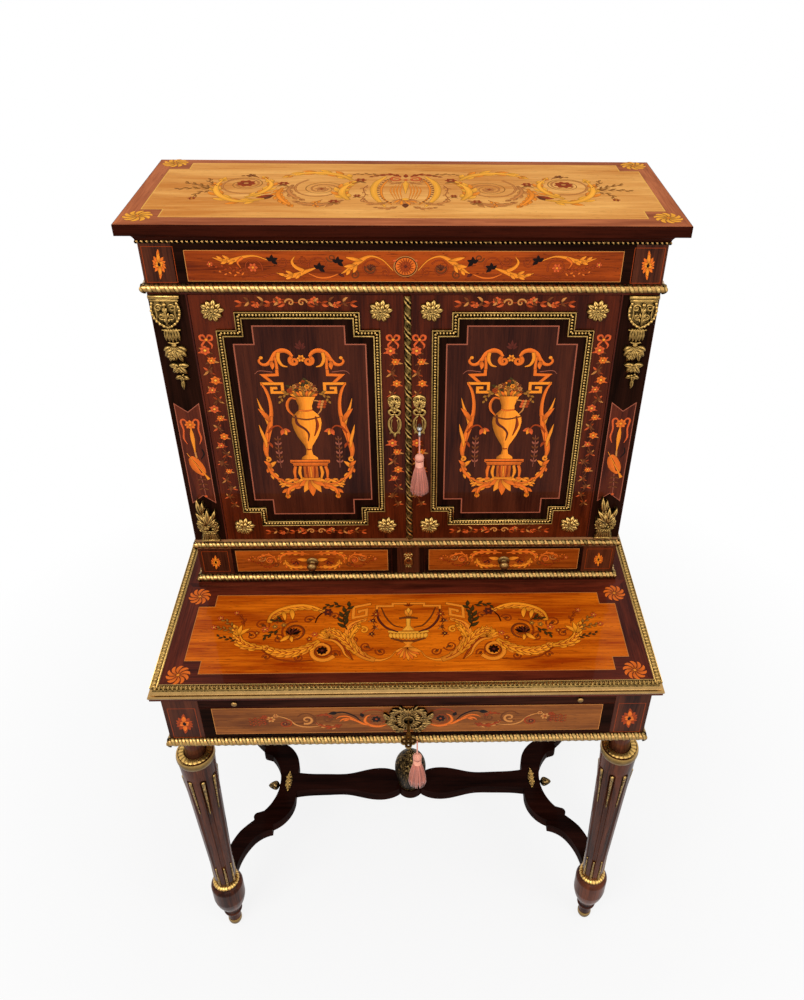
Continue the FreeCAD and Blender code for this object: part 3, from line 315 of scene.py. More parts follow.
class Shape:
    """Points and faces of one piece in metres, with a tint and a run along the grain at each point."""

    def __init__(self):
        self.points = []
        self.faces = []
        self.tints = []
        self.runs = []
        self.kinds = []
        self.kind = 0

    def point(self, place, tint=PLAIN, run=(0, 0, 0)):
        self.points.append(tuple(place))
        self.tints.append((*tint[:3], 1.0))
        self.runs.append(tuple(run))
        return len(self.points) - 1

    def face(self, corners):
        self.faces.append(corners)
        self.kinds.append(self.kind)

    def grid(self, rows, tint=PLAIN, round_rows=False, flip=False, caps=False):
        """Quads between rows of points. The tint is one colour, or one for each row or point."""
        tints = tint if isinstance(tint, list) else [tint] * len(rows)
        made = [[self.point(place, shade[j] if isinstance(shade, list) else shade, (i * 3.0, j * 1.0, 0))
                 for j, place in enumerate(row)] for i, (row, shade) in enumerate(zip(rows, tints))]
        across = len(rows[0])
        for first, second in zip(made, made[1:]):
            for j in range(across if round_rows else across - 1):
                k = (j + 1) % across
                quad = (first[j], first[k], second[k], second[j])
                self.face(quad[::-1] if flip else quad)
        if caps:
            self.face(tuple(made[0][::-1]))
            self.face(tuple(made[-1]))

    def tube(self, path, radii, sides, tint):
        """Round tube along a path of vectors."""
        rows = []
        for i, spot in enumerate(path):
            ahead = (path[min(i + 1, len(path) - 1)] - path[max(i - 1, 0)]).normalized()
            side = ahead.cross(Vector((0, 0, 1)))
            if side.length < 1e-6:
                side = ahead.cross(Vector((1, 0, 0)))
            side.normalize()
            top = side.cross(ahead).normalized()
            radius = radii[i] if isinstance(radii, list) else radii
            rows.append([spot + side * (radius * math.cos(TAU * j / sides))
                         + top * (radius * math.sin(TAU * j / sides)) for j in range(sides)])
        self.grid(rows, tint, round_rows=True, caps=True)

    def lathe(self, profile, centre, axis, sides, tint):
        """Turned form about an axis: profile steps are a radius and a height."""
        axis = Vector(axis)
        side = axis.orthogonal().normalized()
        other = axis.cross(side)
        turns = [TAU * j / sides for j in range(sides)]
        rows = [[Vector(centre) + axis * height + (side * math.cos(angle) + other * math.sin(angle)) * radius
                 for angle in turns] for radius, height in profile]
        self.grid(rows, tint, round_rows=True, caps=True)

    def build(self, name, materials, body, slot, replaces=(), smooth=True):
        """Makes the piece's object, which rides on a body."""
        mesh = bpy.data.meshes.new(name)
        mesh.from_pydata(self.points, [], self.faces)
        tints = mesh.attributes.new("tint", "FLOAT_COLOR", "POINT")
        tints.data.foreach_set("color", [part for tint in self.tints for part in tint])
        runs = mesh.attributes.new("run", "FLOAT_VECTOR", "POINT")
        runs.data.foreach_set("vector", [part for run in self.runs for part in run])
        for material in materials if isinstance(materials, (list, tuple)) else [materials]:
            mesh.materials.append(material)
        mesh.polygons.foreach_set("material_index", self.kinds)
        mesh.polygons.foreach_set("use_smooth", [smooth] * len(self.faces))
        mesh.update()
        piece = bpy.data.objects.new(name, mesh)
        bpy.context.scene.collection.objects.link(piece)
        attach(piece, body)
        if replaces:
            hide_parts(*replaces)
        return piece


def smooth_line(knots, count=None):
    """Points on a smooth curve through the knots."""
    knots = [Vector(knot) for knot in knots]
    if len(knots) < 3:
        count = count or 4
        return [knots[0].lerp(knots[-1], i / (count - 1)) for i in range(count)]
    count = count or 6 * (len(knots) - 1) + 1
    ends = [knots[0] * 2 - knots[1], *knots, knots[-1] * 2 - knots[-2]]
    line = []
    for i in range(count):
        place = i / (count - 1) * (len(knots) - 1)
        part = min(int(place), len(knots) - 2)
        t = place - part
        a, b, c, d = ends[part:part + 4]
        line.append(0.5 * (2 * b + (c - a) * t + (2 * a - 5 * b + 4 * c - d) * t * t
                           + (3 * b - a - 3 * c + d) * t ** 3))
    return line


def at_share(values, share):
    """Value at a share of the way through a list, between its neighbours."""
    place = share * (len(values) - 1)
    part = min(int(place), len(values) - 2)
    return values[part] + (values[part + 1] - values[part]) * (place - part)


# Stage

CAMERA_PLACE = (0.0109, -1.1649, 1.9006)
CAMERA_TURNS = (35.660, 2.020, 0.947)  # down, to the right and rolled, in degrees
CAMERA_LENS, CAMERA_SHIFT = 31.245, (-0.0368, -0.0400)
FLOOR_REACH, FLOOR_HEIGHT = 18.0, -0.0005
FLOOR_FADE = (0.6, 1.5, 0.82, 1.0)  # from the first reach to the second, the floor goes from pale to white
WORLD_LIGHT = 0.46
LAMPS = {
    "key": ((-1.5, -2.4, 3.3), (0, 0, 0.9), (2.2, 1.6), 54),
    "fill": ((2.3, -2.0, 2.3), (0, 0, 0.8), (1.8, 1.8), 22),
    "front": ((0.2, -3.2, 1.2), (0, 0, 0.6), (2.4, 1.2), 14),
    "top": ((0, -0.5, 3.4), (0, 0, 1.4), (2.0, 2.0), 11),
}


def seen_directly(start):
    """1 on the rays of the camera, gloss and glass, which see the stage as white."""
    camera, gloss, glass = (start.node("ShaderNodeLightPath", {}, {}, name) for name in
                            ("Is Camera Ray", "Is Glossy Ray", "Is Transmission Ray"))
    return camera.maths("MAXIMUM", camera.maths("MAXIMUM", camera, gloss), glass)


def floor_material(tone):
    """Pale floor that fades to white further out. It keeps the desk's shadow."""
    material, start = new_material("floor")
    far = start.node("ShaderNodeVectorMath", {"operation": "LENGTH"}, {0: object_place(start)}, 1)
    clear = far.between(*FLOOR_FADE)
    paint = start.node("ShaderNodeBsdfDiffuse", {}, {0: (*tone, 1)})
    glow = start.node("ShaderNodeEmission", {}, {0: (1, 1, 1, 1), 1: 1.0})
    start.node("ShaderNodeMixShader", {}, {0: seen_directly(start) * clear, 1: paint, 2: glow}).show()
    return material


def lamp(name, place, target, size, power):
    light = bpy.data.lights.new(name, "AREA")
    light.shape = "RECTANGLE"
    light.size, light.size_y = size
    light.energy = power
    holder = bpy.data.objects.new(name, light)
    holder.location = place
    holder.rotation_euler = (Vector(target) - Vector(place)).to_track_quat("-Z", "Y").to_euler()
    bpy.context.scene.collection.objects.link(holder)


class DESK_OT_camera(bpy.types.Operator):
    """Set the camera at the photograph's viewing angle"""
    bl_idname = "desk.camera"
    bl_label = "Camera"

    def execute(self, context):
        pitch, yaw, roll = (math.radians(angle) for angle in CAMERA_TURNS)
        ahead = Vector((math.sin(yaw) * math.cos(pitch), math.cos(yaw) * math.cos(pitch), -math.sin(pitch)))
        level = Vector((math.cos(yaw), -math.sin(yaw), 0))
        above = level.cross(ahead)
        right = level * math.cos(roll) + above * math.sin(roll)
        up = above * math.cos(roll) - level * math.sin(roll)
        lens = bpy.data.cameras.new("camera")
        lens.sensor_width = 36.0
        lens.lens = CAMERA_LENS
        lens.shift_x, lens.shift_y = CAMERA_SHIFT
        lens.clip_end = 100.0
        holder = bpy.data.objects.new("camera", lens)
        turn = Matrix((right, up, -ahead)).transposed().to_4x4()
        holder.matrix_world = Matrix.Translation(CAMERA_PLACE) @ turn
        context.scene.collection.objects.link(holder)
        context.scene.camera = holder
        return {"FINISHED"}


class DESK_OT_stage(bpy.types.Operator):
    """Lay the pale floor and set the soft studio lights"""
    bl_idname = "desk.stage"
    bl_label = "Stage and lights"

    def execute(self, context):
        spokes = [TAU * j / 96 for j in range(96)]
        rim = [(FLOOR_REACH * math.cos(angle), FLOOR_REACH * math.sin(angle), FLOOR_HEIGHT) for angle in spokes]
        mesh = bpy.data.meshes.new("floor")
        mesh.from_pydata(rim, [], [tuple(range(len(rim)))])
        mesh.materials.append(floor_material(context.scene.desk_colours.floor))
        floor = bpy.data.objects.new("floor", mesh)
        context.scene.collection.objects.link(floor)
        for name, (place, target, size, power) in LAMPS.items():
            lamp(name, place, target, size, power)
        world = bpy.data.worlds.new("studio")
        context.scene.world = world
        world.use_nodes = True
        world.node_tree.nodes.clear()
        start = Wire(world.node_tree)
        strength = seen_directly(start).between(0, 1, WORLD_LIGHT, 1.0)
        start.node("ShaderNodeBackground", {}, {0: (1, 1, 1, 1), 1: strength}).show("ShaderNodeOutputWorld")
        context.scene.view_settings.view_transform = "Standard"
        return {"FINISHED"}


# Silk

SILK = {"door": ((0.020, -0.007, 1.115165), 1), "drawer": ((0.01452, -0.2735, 0.690), 2)}  # top and seed
HEAD, NECK, SWING = 0.0072, 0.0062, 0.0148  # radii of a tassel's head, its neck and the foot of its skirt
HEM = -0.0765


def tassel_head(foot, tone):
    """Wound head of a tassel under its cord, and the binding of its neck."""
    shape = Shape()
    pale = tuple(min(part * 1.9, 0.95) for part in tone)
    ridges, turns = 26, 7
    round_angles = [TAU * j / (4 * ridges) for j in range(4 * ridges)]
    rows, shades = [], []
    for i in range(15):
        fall = i / 14
        angle = math.pi * (0.06 + 0.86 * fall)
        rows.append([])
        for a in round_angles:
            radius = HEAD * math.sin(angle) * (1 + 0.05 * math.cos(ridges * a))
            rows[-1].append(foot + Vector((radius * math.cos(a), radius * math.sin(a),
                                           -HEAD + HEAD * math.cos(angle))))
        # The head is painted paler towards its top, as a painted highlight.
        shades.append(tuple(a + (b - a) * fall for a, b in zip(pale, tone)))
    shape.grid(rows, shades, round_rows=True, flip=True)
    coil = [foot + Vector((NECK * math.cos(a), NECK * math.sin(a), -0.0132 - 0.0105 * a / (turns * TAU)))
            for a in (TAU * i / 20 for i in range(turns * 20 + 1))]
    shape.tube(coil, 0.0009, 5, pale)
    return shape


def tassel_skirt(foot, tone, threads, seed):
    """Skirt of a tassel: fine threads in three layers over a core, each with its own shade and drift."""
    chance = random.Random(seed)
    shape = Shape()
    # The core is painted darker than the threads, as the shade between them.
    deep = tuple(part * 0.55 for part in tone)
    core = [(0.0045, -0.0125), (0.0058, -0.014), (0.0058, -0.0245), (0.0082, -0.036), (0.0102, -0.050),
            (0.0112, -0.064), (0.0095, -0.0725)]
    shape.lathe(core, foot, (0, 0, 1), 32, deep)
    for i in range(threads):
        layer = i % 3
        angle = TAU * i / threads * 3 + chance.uniform(-0.04, 0.04)
        drift = chance.uniform(-0.07, 0.07)
        end = HEM + chance.uniform(0.0, 0.0022)
        path = []
        for k in range(9):
            t = k / 8
            spread = (NECK - 0.0008 * layer) + (SWING - 0.0022 * layer - NECK) * (1 - (1 - t) ** 1.7)
            spread *= 1 + 0.012 * math.sin(9 * t + i)
            turned = angle + drift * t
            path.append(foot + Vector((spread * math.cos(turned), spread * math.sin(turned),
                                       -0.0238 + (end + 0.0238) * t)))
        shade = chance.uniform(0.72, 1.3)
        shape.tube(path, [0.00048, 0.0005, 0.00048, 0.00045, 0.00043, 0.0004, 0.0004, 0.00036, 0.0003], 4,
                   tuple(min(part * shade, 1) for part in tone))
    return shape


class DESK_OT_silk(bpy.types.Operator):
    """Hang the silk cords and tassels from the keys"""
    bl_idname = "desk.silk"
    bl_label = "Cords and tassels"

    def execute(self, context):
        tone = context.scene.desk_colours.silk
        thread = silk_material()
        braid = cord_material(tuple(min(part * 1.5, 0.95) for part in tone))
        for name, (top, seed) in SILK.items():
            top = Vector(top)
            foot = top - Vector((0, 0, 0.034))
            line = bpy.data.curves.new(name + "_cord", "CURVE")
            line.dimensions = "3D"
            spline = line.splines.new("NURBS")
            route = [top, top.lerp(foot, 0.35), top.lerp(foot, 0.7), foot]
            spline.points.add(len(route) - 1)
            for spot, place in zip(spline.points, route):
                spot.co = (*place, 1)
            spline.order_u = 3
            spline.use_endpoint_u = True
            line.bevel_depth = 0.0012
            line.bevel_resolution = 3
            line.use_fill_caps = True
            line.materials.append(braid)
            cord = bpy.data.objects.new(name + "_cord", line)
            context.scene.collection.objects.link(cord)
            body = name + "_tassel"
            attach(cord, body)
            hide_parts(name + "_key_cord")
            head = tassel_head(foot, tone).build(name + "_tassel_head", thread, body, "silk",
                                                 [name + "_key_tassel"])
            skirt = tassel_skirt(foot, tone, context.scene.desk_sizes.threads, seed)
            skirt.build(name + "_tassel_skirt", thread, body, "silk")
        return {"FINISHED"}


# Finishes of the frame's own pieces

# A name, two colours, the grain's axis, flecks, figure, polish, and whether the grooves get painted shade
WOODS = {
    "leg_wood": ("leg_wood", (40, 16, 9), (106, 54, 32), "z", 0.4, 34, POLISH, True),
    "ebony_level": ("ebonised_rail", (16, 5, 3), (44, 18, 12), "x", 0.3, 30, SATIN),
    "rosewood": ("rosewood", (48, 15, 9), (96, 36, 20), "x", 0.5, 34),
    "rosewood_upright": ("rosewood_upright", (48, 15, 9), (96, 36, 20), "z", 0.5, 34),
    "rosewood_deep": ("rosewood_deep", (34, 13, 9), (72, 30, 20), "y", 0.5, 34, SATIN),
    "carcass": ("carcass_wood", (112, 74, 44), (160, 114, 72), "x", 0.5, 14, DULL),
    "cornice_edge": ("cornice_edge", (30, 8, 4), (62, 21, 10), "x", 0.4, 30, SATIN),
    "rail": ("rail_wood", (28, 12, 8), (62, 30, 20), "x", 0.4, 30, SATIN),
    "cornice_field": ("satinwood", (208, 130, 54), (248, 182, 98), "x", 0.5, 30, SATIN),
    "cornice_border": ("faded_kingwood", (140, 70, 40), (196, 112, 68), "x", 0.4, 44, SATIN),
    "cornice_side": ("faded_kingwood_deep", (140, 70, 40), (196, 112, 68), "y", 0.4, 44, SATIN),
    "table_field": ("flame_satinwood", (154, 52, 2), (232, 116, 14), "x", 0.7, 30),
    "table_border": ("kingwood", (54, 16, 9), (108, 42, 24), "x", 0.4, 44),
    "table_side": ("kingwood_deep", (54, 16, 9), (108, 42, 24), "y", 0.4, 44),
    "frieze_field": ("frieze_veneer", (92, 27, 2), (172, 70, 12), "x", 0.8, 30),
    "drawer_field": ("drawer_veneer", (92, 44, 14), (160, 92, 36), "x", 0.6, 30),
    "small_field": ("small_drawer_veneer", (108, 40, 4), (184, 88, 22), "x", 0.6, 30),
    "door_stile": ("stile_veneer", (48, 12, 3), (94, 33, 10), "z", 0.4, 40),
    "door_field": ("door_veneer", (40, 12, 6), (78, 33, 17), "z", 0.4, 26),
    "block": ("block_veneer", (40, 15, 7), (90, 42, 22), "z", 0.4, 40),
    "banner": ("banner_veneer", (54, 17, 8), (100, 40, 20), "z", 0.4, 40),
    "black": ("black_band", (16, 6, 3), (40, 17, 9), "x", 0.2, 50, SATIN),
    "black_upright": ("black_band_upright", (16, 6, 3), (40, 17, 9), "z", 0.2, 50, SATIN),
}


def finishes(colours):
    """Materials of the desk by name."""
    return {
        **{key: wood(*values) for key, values in WOODS.items()},
        "gilt": gilt_material("gilt", colours.gold, (20, 12, 5)),
        "gilt_bright": gilt_material("gilt_bright", (198, 152, 88), (40, 24, 10), grime=0.5),
        "gilt_pale": gilt_material("gilt_olive", (190, 150, 92), (44, 30, 12)),
        "gilt_cast": gilt_material("gilt_casting", (228, 182, 102), (14, 8, 3), grime=0.9, cast=True,
                                   cells=240.0),
        "gilt_rope": gilt_material("gilt_rope", (224, 182, 108), (22, 12, 4), grime=1.0, cast=True,
                                   cells=160.0),
        "gilt_worn": gilt_material("gilt_worn", (214, 172, 100), (34, 20, 9), grime=2.2, cells=300.0),
        "bronze": gilt_material("bronze_dark", (196, 156, 96), (5, 3, 2), 0.3, 0.6, 6.0, cells=420.0,
                                base=-0.55),
        "bead_bronze": gilt_material("bead_line_bronze", (150, 112, 64), (5, 3, 2), 0.4, 0.6, 4.0,
                                     cells=300.0, base=-0.75),
        "bronze_cast": gilt_material("bronze_casting", (176, 138, 80), (8, 5, 3), 0.28, 0.5, 1.4, True,
                                     200.0),
        "steel": steel_material(),
        "leather": leather_material(colours.leather),
        "inlay": inlay_material("inlay", POLISH),
        "inlay_satin": inlay_material("inlay_satin", SATIN),
    }


WEARS = {
    "leg_wood": ["legs"],
    "ebony_level": ["side_stretchers", "cross_stretcher"],
    "rosewood": ["frieze_front", "drawer_row_blocks", "left_small_drawer", "right_small_drawer", "table_top",
                 "long_drawer_front"],
    "rosewood_upright": ["corner_blocks", "pilasters", "left_door", "right_door"],
    "rosewood_deep": ["apron_sides", "cabinet_sides"],
    "cornice_edge": ["cornice"],
    "rail": ["front_rail", "slide_board"],
    "carcass": ["apron_back", "drawer_runners", "slide_bed", "cabinet_back", "cabinet_boards", "cabinet_shelf",
                "drawer_guides", "long_drawer_box"],
    "gilt_worn": ["flute_mounts"],
    "gilt": ["leg_rings", "leg_sabots", "capitals", "flower_drops", "flower_baskets",
             "left_door_frame", "right_door_frame", "left_door_mounts", "right_door_mounts", "door_astragal",
             "drawer_key"],
    "gilt_bright": ["apron_moulding", "cabinet_mouldings", "centre_escutcheon", "slide_knobs",
                    "left_drawer_knob", "right_drawer_knob"],
    "gilt_pale": ["table_edge"],
    "bronze": ["stretcher_finial", "stretcher_mounts", "long_drawer_escutcheon"],
    "steel": ["centre_lock", "door_lock", "door_bolt", "drawer_lock", "drawer_bolt", "door_pins", "door_key"],
    "leather": ["slide_leather"],
}
MATERIALS = {}


class DESK_OT_finishes(bpy.types.Operator):
    """Finish every piece of the frame in its own wood, metal or leather"""
    bl_idname = "desk.finishes"
    bl_label = "Woods and metals"

    def execute(self, context):
        MATERIALS.update(finishes(context.scene.desk_colours))
        for finish, names in WEARS.items():
            for name in names:
                NODES[name].data.materials.clear()
                NODES[name].data.materials.append(MATERIALS[finish])
        return {"FINISHED"}


# Marquetry

# Places on the desk in millimetres
Box = namedtuple("Box", "side front back")
CUPBOARD = Box(377, 14, 286.3)
APRON = Box(404, -232.5, 272.4)
CORNICE_HEIGHT, DRAWER_ROW, TABLE_HEIGHT = 1466, 830, 785
SIDES = (("left", -1), ("right", 1))
TONES = {
    "orange": colour(230, 112, 34), "amber": colour(244, 144, 40), "yellow": colour(252, 176, 58),
    "cream": colour(246, 190, 92), "rust": colour(160, 62, 18), "plum": colour(92, 38, 28),
    "mauve": colour(160, 88, 66), "green": colour(66, 52, 22), "dark": colour(22, 10, 8),
    "olive": colour(160, 106, 40), "brown": colour(116, 60, 26), "tan": colour(204, 132, 66),
    "rose": colour(214, 92, 42), "bright": colour(255, 158, 38),
}


def spots(drawn):
    """Points in millimetres, from a list or from a drawing such as "0,4 12.5,-3"."""
    return [tuple(map(float, pair.split(","))) for pair in drawn.split()] if isinstance(drawn, str) else drawn


class Inlay(Shape):
    """Flat veneer pieces on one panel, drawn in millimetres and laid in order, one just over another."""

    walls = False  # a casting's side walls stay as they come

    def __init__(self, place, mirror=True, edge=0.3, burnt=(34, 14, 6)):
        super().__init__()
        sizes = bpy.context.scene.desk_sizes
        self.place = place
        self.outward = Vector(place(0, 0, 1.0)) - Vector(place(0, 0, 0.0))
        self.veneer = sizes.veneer
        self.layer = sizes.layer
        self.edge = edge * sizes.outline
        self.burnt = colour(*burnt)
        self.mirror = mirror
        self.level = 0
        self.laid = []

    def spot(self, x, y, hand, tint, run, lift=0.0):
        return self.point(self.place(hand * x, y, self.veneer + self.layer * (self.level + lift)), tint, run)

    def settle(self, corners):
        """Puts the next piece just over those that it crosses."""
        xs = [spot[0] for spot in corners]
        ys = [spot[1] for spot in corners]
        box = (min(xs), max(xs), min(ys), max(ys))
        over = [level for left, right, low, high, level in self.laid
                if left < box[1] and right > box[0] and low < box[3] and high > box[2]]
        self.level = max(over, default=-1) + 1
        self.laid.append((*box, self.level))
        if self.mirror:
            self.laid.append((-box[1], -box[0], box[2], box[3], self.level))

    def hands(self):
        return (1, -1) if self.mirror else (1,)

    def lay(self, left, right, tone, across, along, edge=None):
        """One strip of veneer between two edges, over its burnt outline."""
        base = TONES[tone]
        count = len(left)
        self.settle([*left, *right])
        seed = len(self.points) * 0.37
        reach = self.edge if edge is None else edge
        if reach:
            outer = []
            for i in range(count):
                middle = (left[i] + right[i]) / 2
                across_way = left[i] - middle
                step = right[i] - middle
                ahead = (left[min(i + 1, count - 1)] + right[min(i + 1, count - 1)]
                         - left[max(i - 1, 0)] - right[max(i - 1, 0)])
                ahead = ahead.normalized() if ahead.length > 1e-9 else Vector((0, 0))
                normal = Vector((-ahead.y, ahead.x))
                slip = ahead * (reach if i == count - 1 else -reach if i == 0 else 0)
                first = across_way.normalized() if across_way.length > 1e-3 else normal
                second = step.normalized() if step.length > 1e-3 else -normal
                outer.append((left[i] + first * reach + slip, right[i] + second * reach + slip))
            for hand in self.hands():
                made = [[self.spot(q.x, q.y, hand, self.burnt, (seed + i, j, 0)) for j, q in enumerate(pair)]
                        for i, pair in enumerate(outer)]
                self.quads(made)
        for hand in self.hands():
            made = []
            for i in range(count):
                share = i / max(count - 1, 1)
                lit = at_share(list(along), share)
                trio = (left[i], (left[i] + right[i]) / 2, right[i])
                made.append([self.spot(q.x, q.y, hand, [part * lit * across[j] for part in base],
                                       (seed + i * 1.6, seed + j * 3.0, seed), 0.5) for j, q in enumerate(trio)])
            self.quads(made)

    def quads(self, made):
        for first, second in zip(made, made[1:]):
            for j in range(len(first) - 1):
                self.up((first[j], first[j + 1], second[j + 1], second[j]))

    def up(self, corners):
        """Adds a face turned so that it looks out of the panel."""
        ends = [Vector(self.points[corner]) for corner in corners]
        normal = Vector((0, 0, 0))
        for a, b in zip(ends, ends[1:] + ends[:1]):
            normal += a.cross(b)
        facing = normal.dot(self.outward)
        self.face(corners if facing > 0 or self.walls and facing == 0 else corners[::-1])

    def ribbon(self, knots, widths, tone="orange", across=(0.72, 1.0, 0.88), along=(1.0, 1.0), edge=None,
               count=None):
        """Curved strip through knots, its width from a list of widths."""
        line = smooth_line(spots(knots), count)
        left, right = [], []
        for i, spot in enumerate(line):
            ahead = line[min(i + 1, len(line) - 1)] - line[max(i - 1, 0)]
            normal = Vector((-ahead.y, ahead.x)).normalized() if ahead.length else Vector((0, 1))
            half = at_share(widths, i / (len(line) - 1)) / 2
            left.append(spot + normal * half)
            right.append(spot - normal * half)
        self.lay(left, right, tone, across, along, edge)

    def petal(self, base, angle, length, width, bend=0.0, tone="orange", along=(0.55, 1.0, 1.08), edge=None,
              full=0.8):
        """Pointed petal or leaflet that grows from its base at an angle in degrees and bends as it goes."""
        count = 9
        heading = math.radians(angle)
        turn = math.radians(bend) / (count - 1)
        spot = Vector(base)
        left, right = [], []
        for i in range(count):
            share = i / (count - 1)
            half = width / 2 * math.sin(math.pi * min(share * 0.96 + 0.03, 1) ** full) ** 0.85
            normal = Vector((-math.sin(heading), math.cos(heading)))
            left.append(spot + normal * half)
            right.append(spot - normal * half)
            spot = spot + Vector((math.cos(heading), math.sin(heading))) * (length / (count - 1))
            heading += turn
        self.lay(left, right, tone, (0.78, 1.0, 0.92), along, edge)

    def fan(self, middle, start, step, count, length, width, tones=("orange",), fall=0, **more):
        """Petals that open from one point a step of the angle apart, the outer ones shorter by what they fall."""
        for k in range(count):
            self.petal(middle, start + step * k, length - abs(k - (count - 1) / 2) * fall, width,
                       tone=tones[k % len(tones)], **more)

    def turned(self, profile, tone, across, edge):
        """Form like a turned one. Each step of its profile has half its width, its middle's place and its height."""
        left = [Vector((middle - half, y)) for half, middle, y in profile]
        right = [Vector((middle + half, y)) for half, middle, y in profile]
        self.lay(left, right, tone, across, (1, 1), edge)

    def disc(self, middle, radius, tone="orange", squash=1.0, edge=None):
        left, right = [], []
        for i in range(13):
            angle = math.pi * i / 12
            x = -radius * math.cos(angle)
            y = radius * math.sin(angle) * squash
            left.append(Vector((middle[0] + x, middle[1] + y)))
            right.append(Vector((middle[0] + x, middle[1] - y)))
        self.lay(left, right, tone, (0.85, 1.05, 0.75), (1, 1), edge)

    def leaf(self, knots, width, tone="amber", lobes=5, sides=(1, -1), swing=(46, 14), body=0.46, tip=True,
             second=None):
        """Acanthus leaf on a curved spine: lobes that grow forward on each side, a body and a pointed tip."""
        line = smooth_line(spots(knots), 41)
        cuts = []
        for k in range(lobes):
            share = 0.10 + 0.80 * k / max(lobes - 1, 1)
            i = int(share * 40)
            ahead = line[min(i + 1, 40)] - line[max(i - 1, 0)]
            heading = math.degrees(math.atan2(ahead.y, ahead.x))
            swell = (math.sin(math.pi * (0.18 + 0.74 * share)) ** 0.8)
            for side in sides:
                angle = heading + side * (swing[0] + (swing[1] - swing[0]) * share)
                self.petal(line[i], angle, width * swell * 1.15, width * 0.44, -side * 26,
                           second if second and k % 2 else tone, (0.5, 0.95, 1.1), full=0.9)
                cuts.append((line[i], angle, width * swell * 0.8, -side * 26))
        self.ribbon(line[::4], [width * body * 0.6, width * body, width * body * 0.8, 0.5], tone,
                    (0.8, 1.08, 0.84), (0.75, 1.05, 1.1), count=25)
        if body > 0.6:
            for spot, angle, reach, bend in cuts:
                self.petal(spot, angle, reach, width * 0.09, bend, "rust", (1, 1, 1), edge=0)
            self.ribbon(line[2:37:5], [width * 0.09, width * 0.07, 0.4], "rust", edge=0)
        if tip:
            ahead = line[-1] - line[-4]
            self.petal(line[-3], math.degrees(math.atan2(ahead.y, ahead.x)), width * 0.5, width * 0.3, 0, tone)

    def flower(self, middle, radius, petals=6, tone="rose", heart="yellow", turn=0.0, round_petals=0.62):
        for k in range(petals):
            angle = turn + 360 * k / petals
            self.petal(middle, angle, radius, radius * round_petals, 0, tone, (0.5, 0.9, 1.15),
                       edge=self.edge * 0.8, full=1.25)
        self.disc(middle, radius * 0.26, heart, edge=self.edge * 0.8)

    def whorl(self, middle, radius, petals=10, tone="orange"):
        """Pinwheel of hooked petals that all turn one way, as at the corners of a top."""
        for k in range(petals):
            angle = 360 * k / petals
            far = math.radians(angle)
            foot = (middle[0] + radius * 0.14 * math.cos(far), middle[1] + radius * 0.14 * math.sin(far))
            self.petal(foot, angle - 62, radius * 1.16, radius * 0.34, 132, tone, (0.6, 0.95, 1.1), full=1.45)
        self.disc(middle, radius * 0.14, "amber")

    def scroll(self, middle, radius, inner, start, turns, widths=(3.0, 2.0, 1.4), tone="brown", edge=None,
               squash=1.0):
        """Spiral stem from its outer end to its eye. Turns below zero wind clockwise."""
        steps = max(int(abs(turns) * 12), 8)
        knots = []
        for i in range(steps + 1):
            share = i / steps
            reach = radius * (inner / radius) ** share
            angle = math.radians(start) + TAU * turns * share
            knots.append((middle[0] + reach * math.cos(angle), middle[1] + reach * math.sin(angle) * squash))
        self.ribbon(knots, list(widths), tone, count=steps * 2 + 1, edge=edge)

    def sprig(self, knots, tone="green", leaves=6, length=9.0, width=3.4, stem="dark", end=None, thick=0.8):
        """Thin stem with small leaves on alternate sides, and a flower at its end if asked."""
        line = smooth_line(spots(knots), 31)
        self.ribbon(knots, [thick * 1.4, thick], stem, edge=0.15)
        for k in range(leaves):
            share = (k + 1) / (leaves + 0.6)
            i = min(int(share * 30), 29)
            ahead = line[i + 1] - line[max(i - 1, 0)]
            heading = math.degrees(math.atan2(ahead.y, ahead.x))
            side = 1 if k % 2 else -1
            self.petal(line[i], heading + side * 42, length * (1.1 - 0.4 * share), width, -side * 20, tone,
                       (0.7, 1.0, 1.15))
        if end:
            self.flower(line[-1], length * 0.62, 5, end)

    def straight(self, knots, width, tone="amber", closed=False, edge=0):
        """Stringing with mitred corners."""
        turns = [Vector(q) for q in spots(knots)]
        count = len(turns)
        left, right = [], []
        for i, spot in enumerate(turns):
            before = turns[i - 1] if i or closed else None
            after = turns[(i + 1) % count] if i < count - 1 or closed else None
            first = (spot - before).normalized() if before is not None else None
            second = (after - spot).normalized() if after is not None else None
            first = first or second
            second = second or first
            n1 = Vector((-first.y, first.x))
            n2 = Vector((-second.y, second.x))
            mitre = (n1 + n2).normalized()
            reach = width / 2 / max(mitre.dot(n1), 0.3)
            left.append(spot + mitre * reach)
            right.append(spot - mitre * reach)
        if closed:
            left.append(left[0])
            right.append(right[0])
        kept = self.mirror
        self.mirror = kept and not (closed and min(spot.x for spot in turns) < 0)
        self.lay(left, right, tone, (0.9, 1.0, 0.9), (1, 1), edge)
        self.mirror = kept

    def field(self, knots, kind, string=0, tone="tan"):
        """One flat field of veneer in its own wood, with stringing round it if asked."""
        mirror = self.mirror
        self.kind, self.mirror = kind, False
        self.settle(knots)
        self.up(tuple(self.spot(x, y, 1, PLAIN, (x * 0.4, y * 0.4, 0)) for x, y in knots))
        self.kind, self.mirror = 0, mirror
        if string:
            self.straight(knots, string, tone, True)

    def pair(self, near, far, low, high, kind):
        """The same upright field at the left and at the right."""
        for hand in (-1, 1):
            self.field(rectangle(hand * near, hand * far, low, high), kind)

